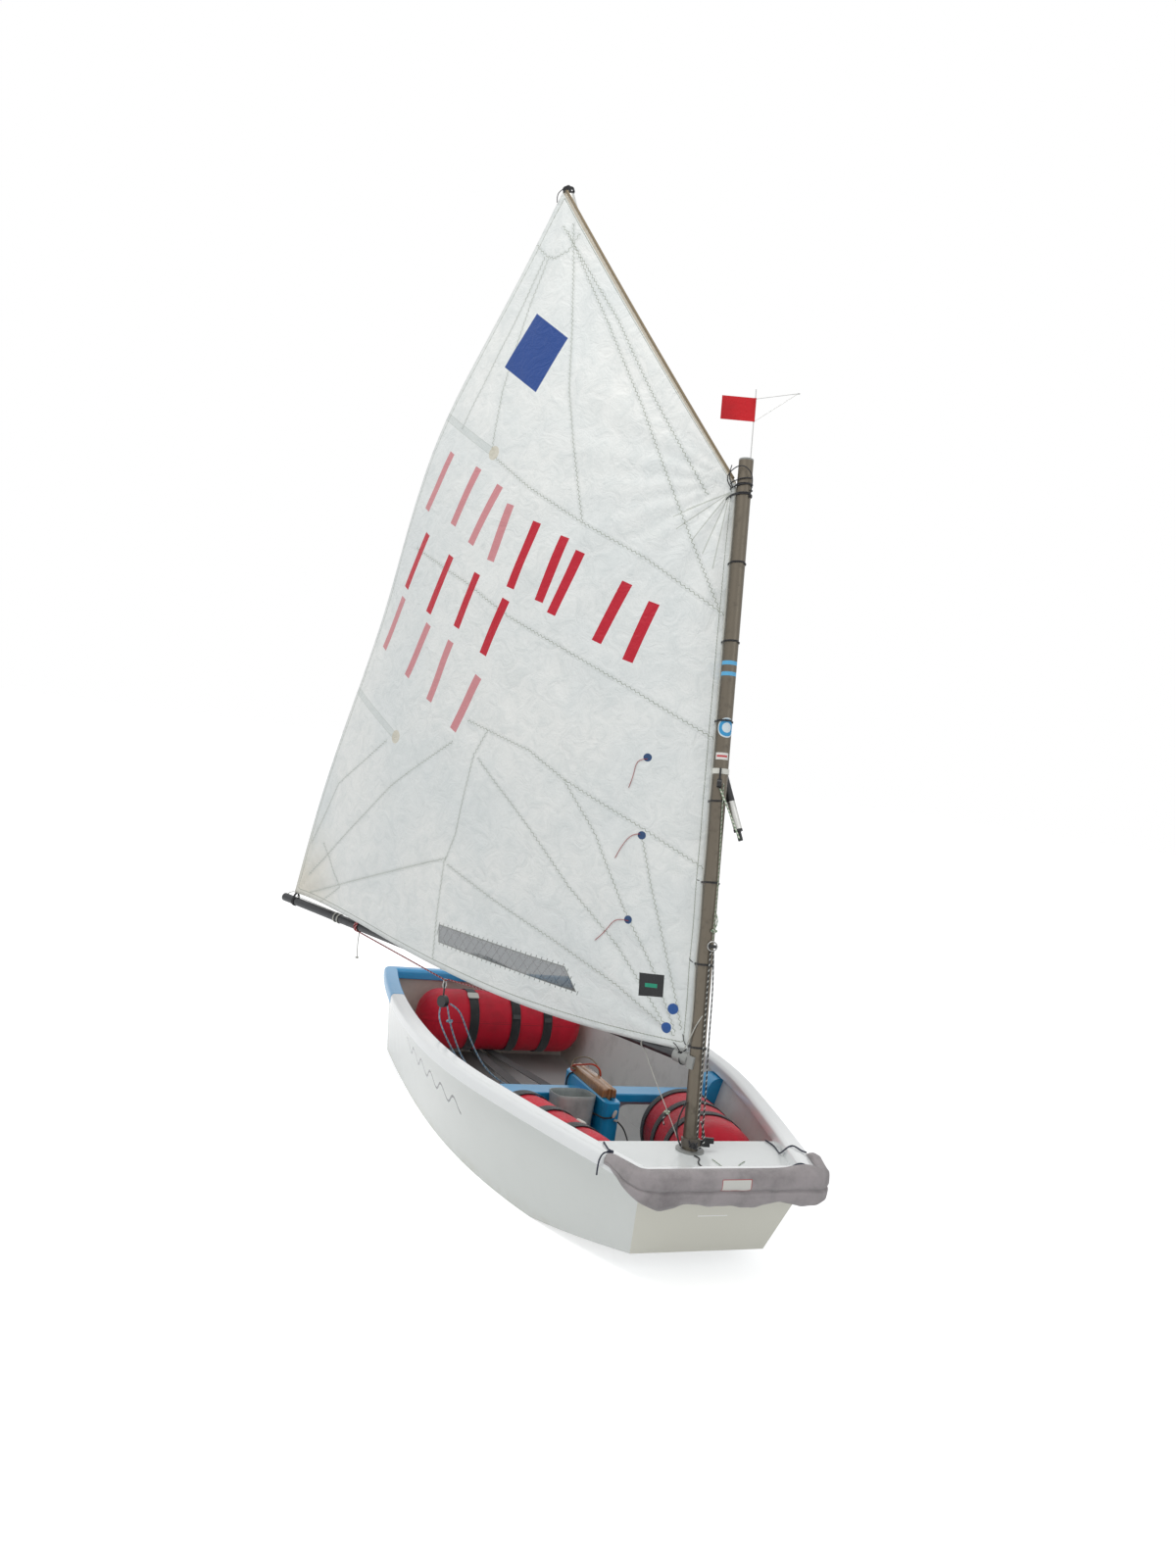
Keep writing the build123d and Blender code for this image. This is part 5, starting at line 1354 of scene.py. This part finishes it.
# each fall's points from the boom down: forward, to port and up
falls = {
    "aft": (
        (-0.110, -0.498, 0.462), (-0.108, -0.500, 0.420), (-0.100, -0.484, 0.375), (-0.105, -0.434, 0.297),
        (-0.111, -0.397, 0.250), (-0.125, -0.300, 0.175), (-0.140, -0.140, 0.090), (-0.150, -0.030, 0.030)),
    "middle": (
        (-0.086, -0.483, 0.462), (-0.093, -0.466, 0.412), (-0.101, -0.434, 0.340), (-0.114, -0.372, 0.245),
        (-0.130, -0.240, 0.150), (-0.145, -0.100, 0.070), (-0.152, -0.022, 0.032)),
    "slack": (
        (-0.080, -0.476, 0.470), (-0.088, -0.440, 0.446), (-0.096, -0.409, 0.400), (-0.105, -0.367, 0.326),
        (-0.113, -0.317, 0.254), (-0.121, -0.255, 0.198), (-0.129, -0.165, 0.150), (-0.140, -0.080, 0.095),
        (-0.148, -0.014, 0.038)),
}
for label, points in falls.items():
    fall = rope("sheet_" + label, None, smooth_path(points, 110), 0.0030, sheet_line)
    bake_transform(fall)
knot("sheet_knot", "rig", np.array((-0.094, -0.464, 0.405)), throat_axes, 0.0100, 0.0030, sheet_line)


# Deck and case lines: an elastic cord round the daggerboard case with a white toggle, the
# board's pull loop, and the ties that hold the bow roll to the rail.
hold_down = [
    (0.040, -0.0285, 0.2745), (0.022, -0.0335, 0.262), (0.026, -0.0335, 0.190), (0.080, -0.0335, 0.190),
    (0.160, -0.0335, 0.200), (0.250, -0.0335, 0.204), (0.325, -0.0335, 0.216), (0.348, -0.030, 0.219),
    (0.3545, -0.016, 0.221), (0.3545, 0.004, 0.224)]
rope("hold_down_cord", "hull", smooth_path(hold_down, 120), 0.0028, black_cord)
hold_down = [(0.3560, 0.010, 0.214), (0.365, 0.022, 0.206), (0.430, 0.030, 0.168), (0.550, 0.030, 0.118),
             (0.700, 0.020, 0.080), (0.812, 0.010, 0.060)]
rope("hold_down_end", "hull", smooth_path(hold_down, 70), 0.0026, black_cord)
pebble("toggle", "hull", (0.3600, 0.002, 0.236), square_to((0.0, 0.35, 1.0), (1, 0, 0)),
       (0.014, 0.005, 0.0055), white_plastic, 0.7)
knot("toggle_knot", "hull", np.array((0.3590, 0.010, 0.214)), throat_axes, 0.0060, 0.0020, white_cord)
pull = [(0.052, -0.0285, 0.284), (0.030, -0.0305, 0.281), (0.020, -0.028, 0.284), (0.036, -0.027, 0.298),
        (0.066, -0.021, 0.310), (0.105, -0.004, 0.325), (0.137, 0.012, 0.330), (0.150, 0.024, 0.318),
        (0.152, 0.0285, 0.298)]
rope("board_pull_loop", "daggerboard", smooth_path(pull, 80), 0.0032, orange_line)
pull = [(0.058, -0.0272, 0.293), (0.026, -0.0300, 0.292), (0.012, -0.020, 0.308), (0.036, 0.000, 0.330),
        (0.075, 0.014, 0.337), (0.117, 0.022, 0.330), (0.136, 0.0275, 0.312), (0.140, 0.0272, 0.294)]
rope("board_second_loop", "daggerboard", smooth_path(pull, 80), 0.0022, tan_rope)
# each tie's points: forward, to port and up
ties = {
    "starboard": (
        (0.925, -0.290, 0.340), (0.935, -0.300, 0.3572), (0.970, -0.306, 0.3572), (1.003, -0.309, 0.3575),
        (1.018, -0.315, 0.3600)),
    "starboard_tail": (
        (1.018, -0.318, 0.3600), (1.014, -0.330, 0.3585), (1.008, -0.338, 0.345), (1.002, -0.340, 0.318),
        (0.998, -0.338, 0.290)),
    "port": (
        (0.815, 0.300, 0.3190), (0.870, 0.300, 0.3190), (0.930, 0.284, 0.3240), (0.952, 0.285, 0.345),
        (0.962, 0.296, 0.3572), (0.995, 0.306, 0.3575), (1.018, 0.312, 0.3590)),
    "port_small": (
        (1.045, 0.150, 0.3185), (1.060, 0.178, 0.3185), (1.078, 0.205, 0.326), (1.088, 0.225, 0.346),
        (1.098, 0.240, 0.3575), (1.124, 0.252, 0.3580)),
    "middle": (
        (0.963, 0.036, 0.3180), (1.000, 0.038, 0.3180), (1.029, 0.046, 0.3180), (1.030, 0.070, 0.3180),
        (1.010, 0.096, 0.3180), (0.979, 0.134, 0.3180)),
}
for label, points in ties.items():
    thin = label == "middle"
    rope("roll_tie_" + label, "hull", smooth_path(points, 50), 0.0012 if thin else 0.0024,
         green_line if thin else navy_line, 8)
knot("roll_knot", "hull", np.array((1.016, -0.316, 0.3620)), throat_axes, 0.0080, 0.0024, navy_line)


# Wind vane: a red nylon flag on a sleeve that turns on a thin stem,
# with two balance wires on its other side.
vane_red = coated_cloth("vane_red", colour(204, 16, 30), 700.0)
dress("vane_flag", vane_red)
dress("vane_arms", stainless)
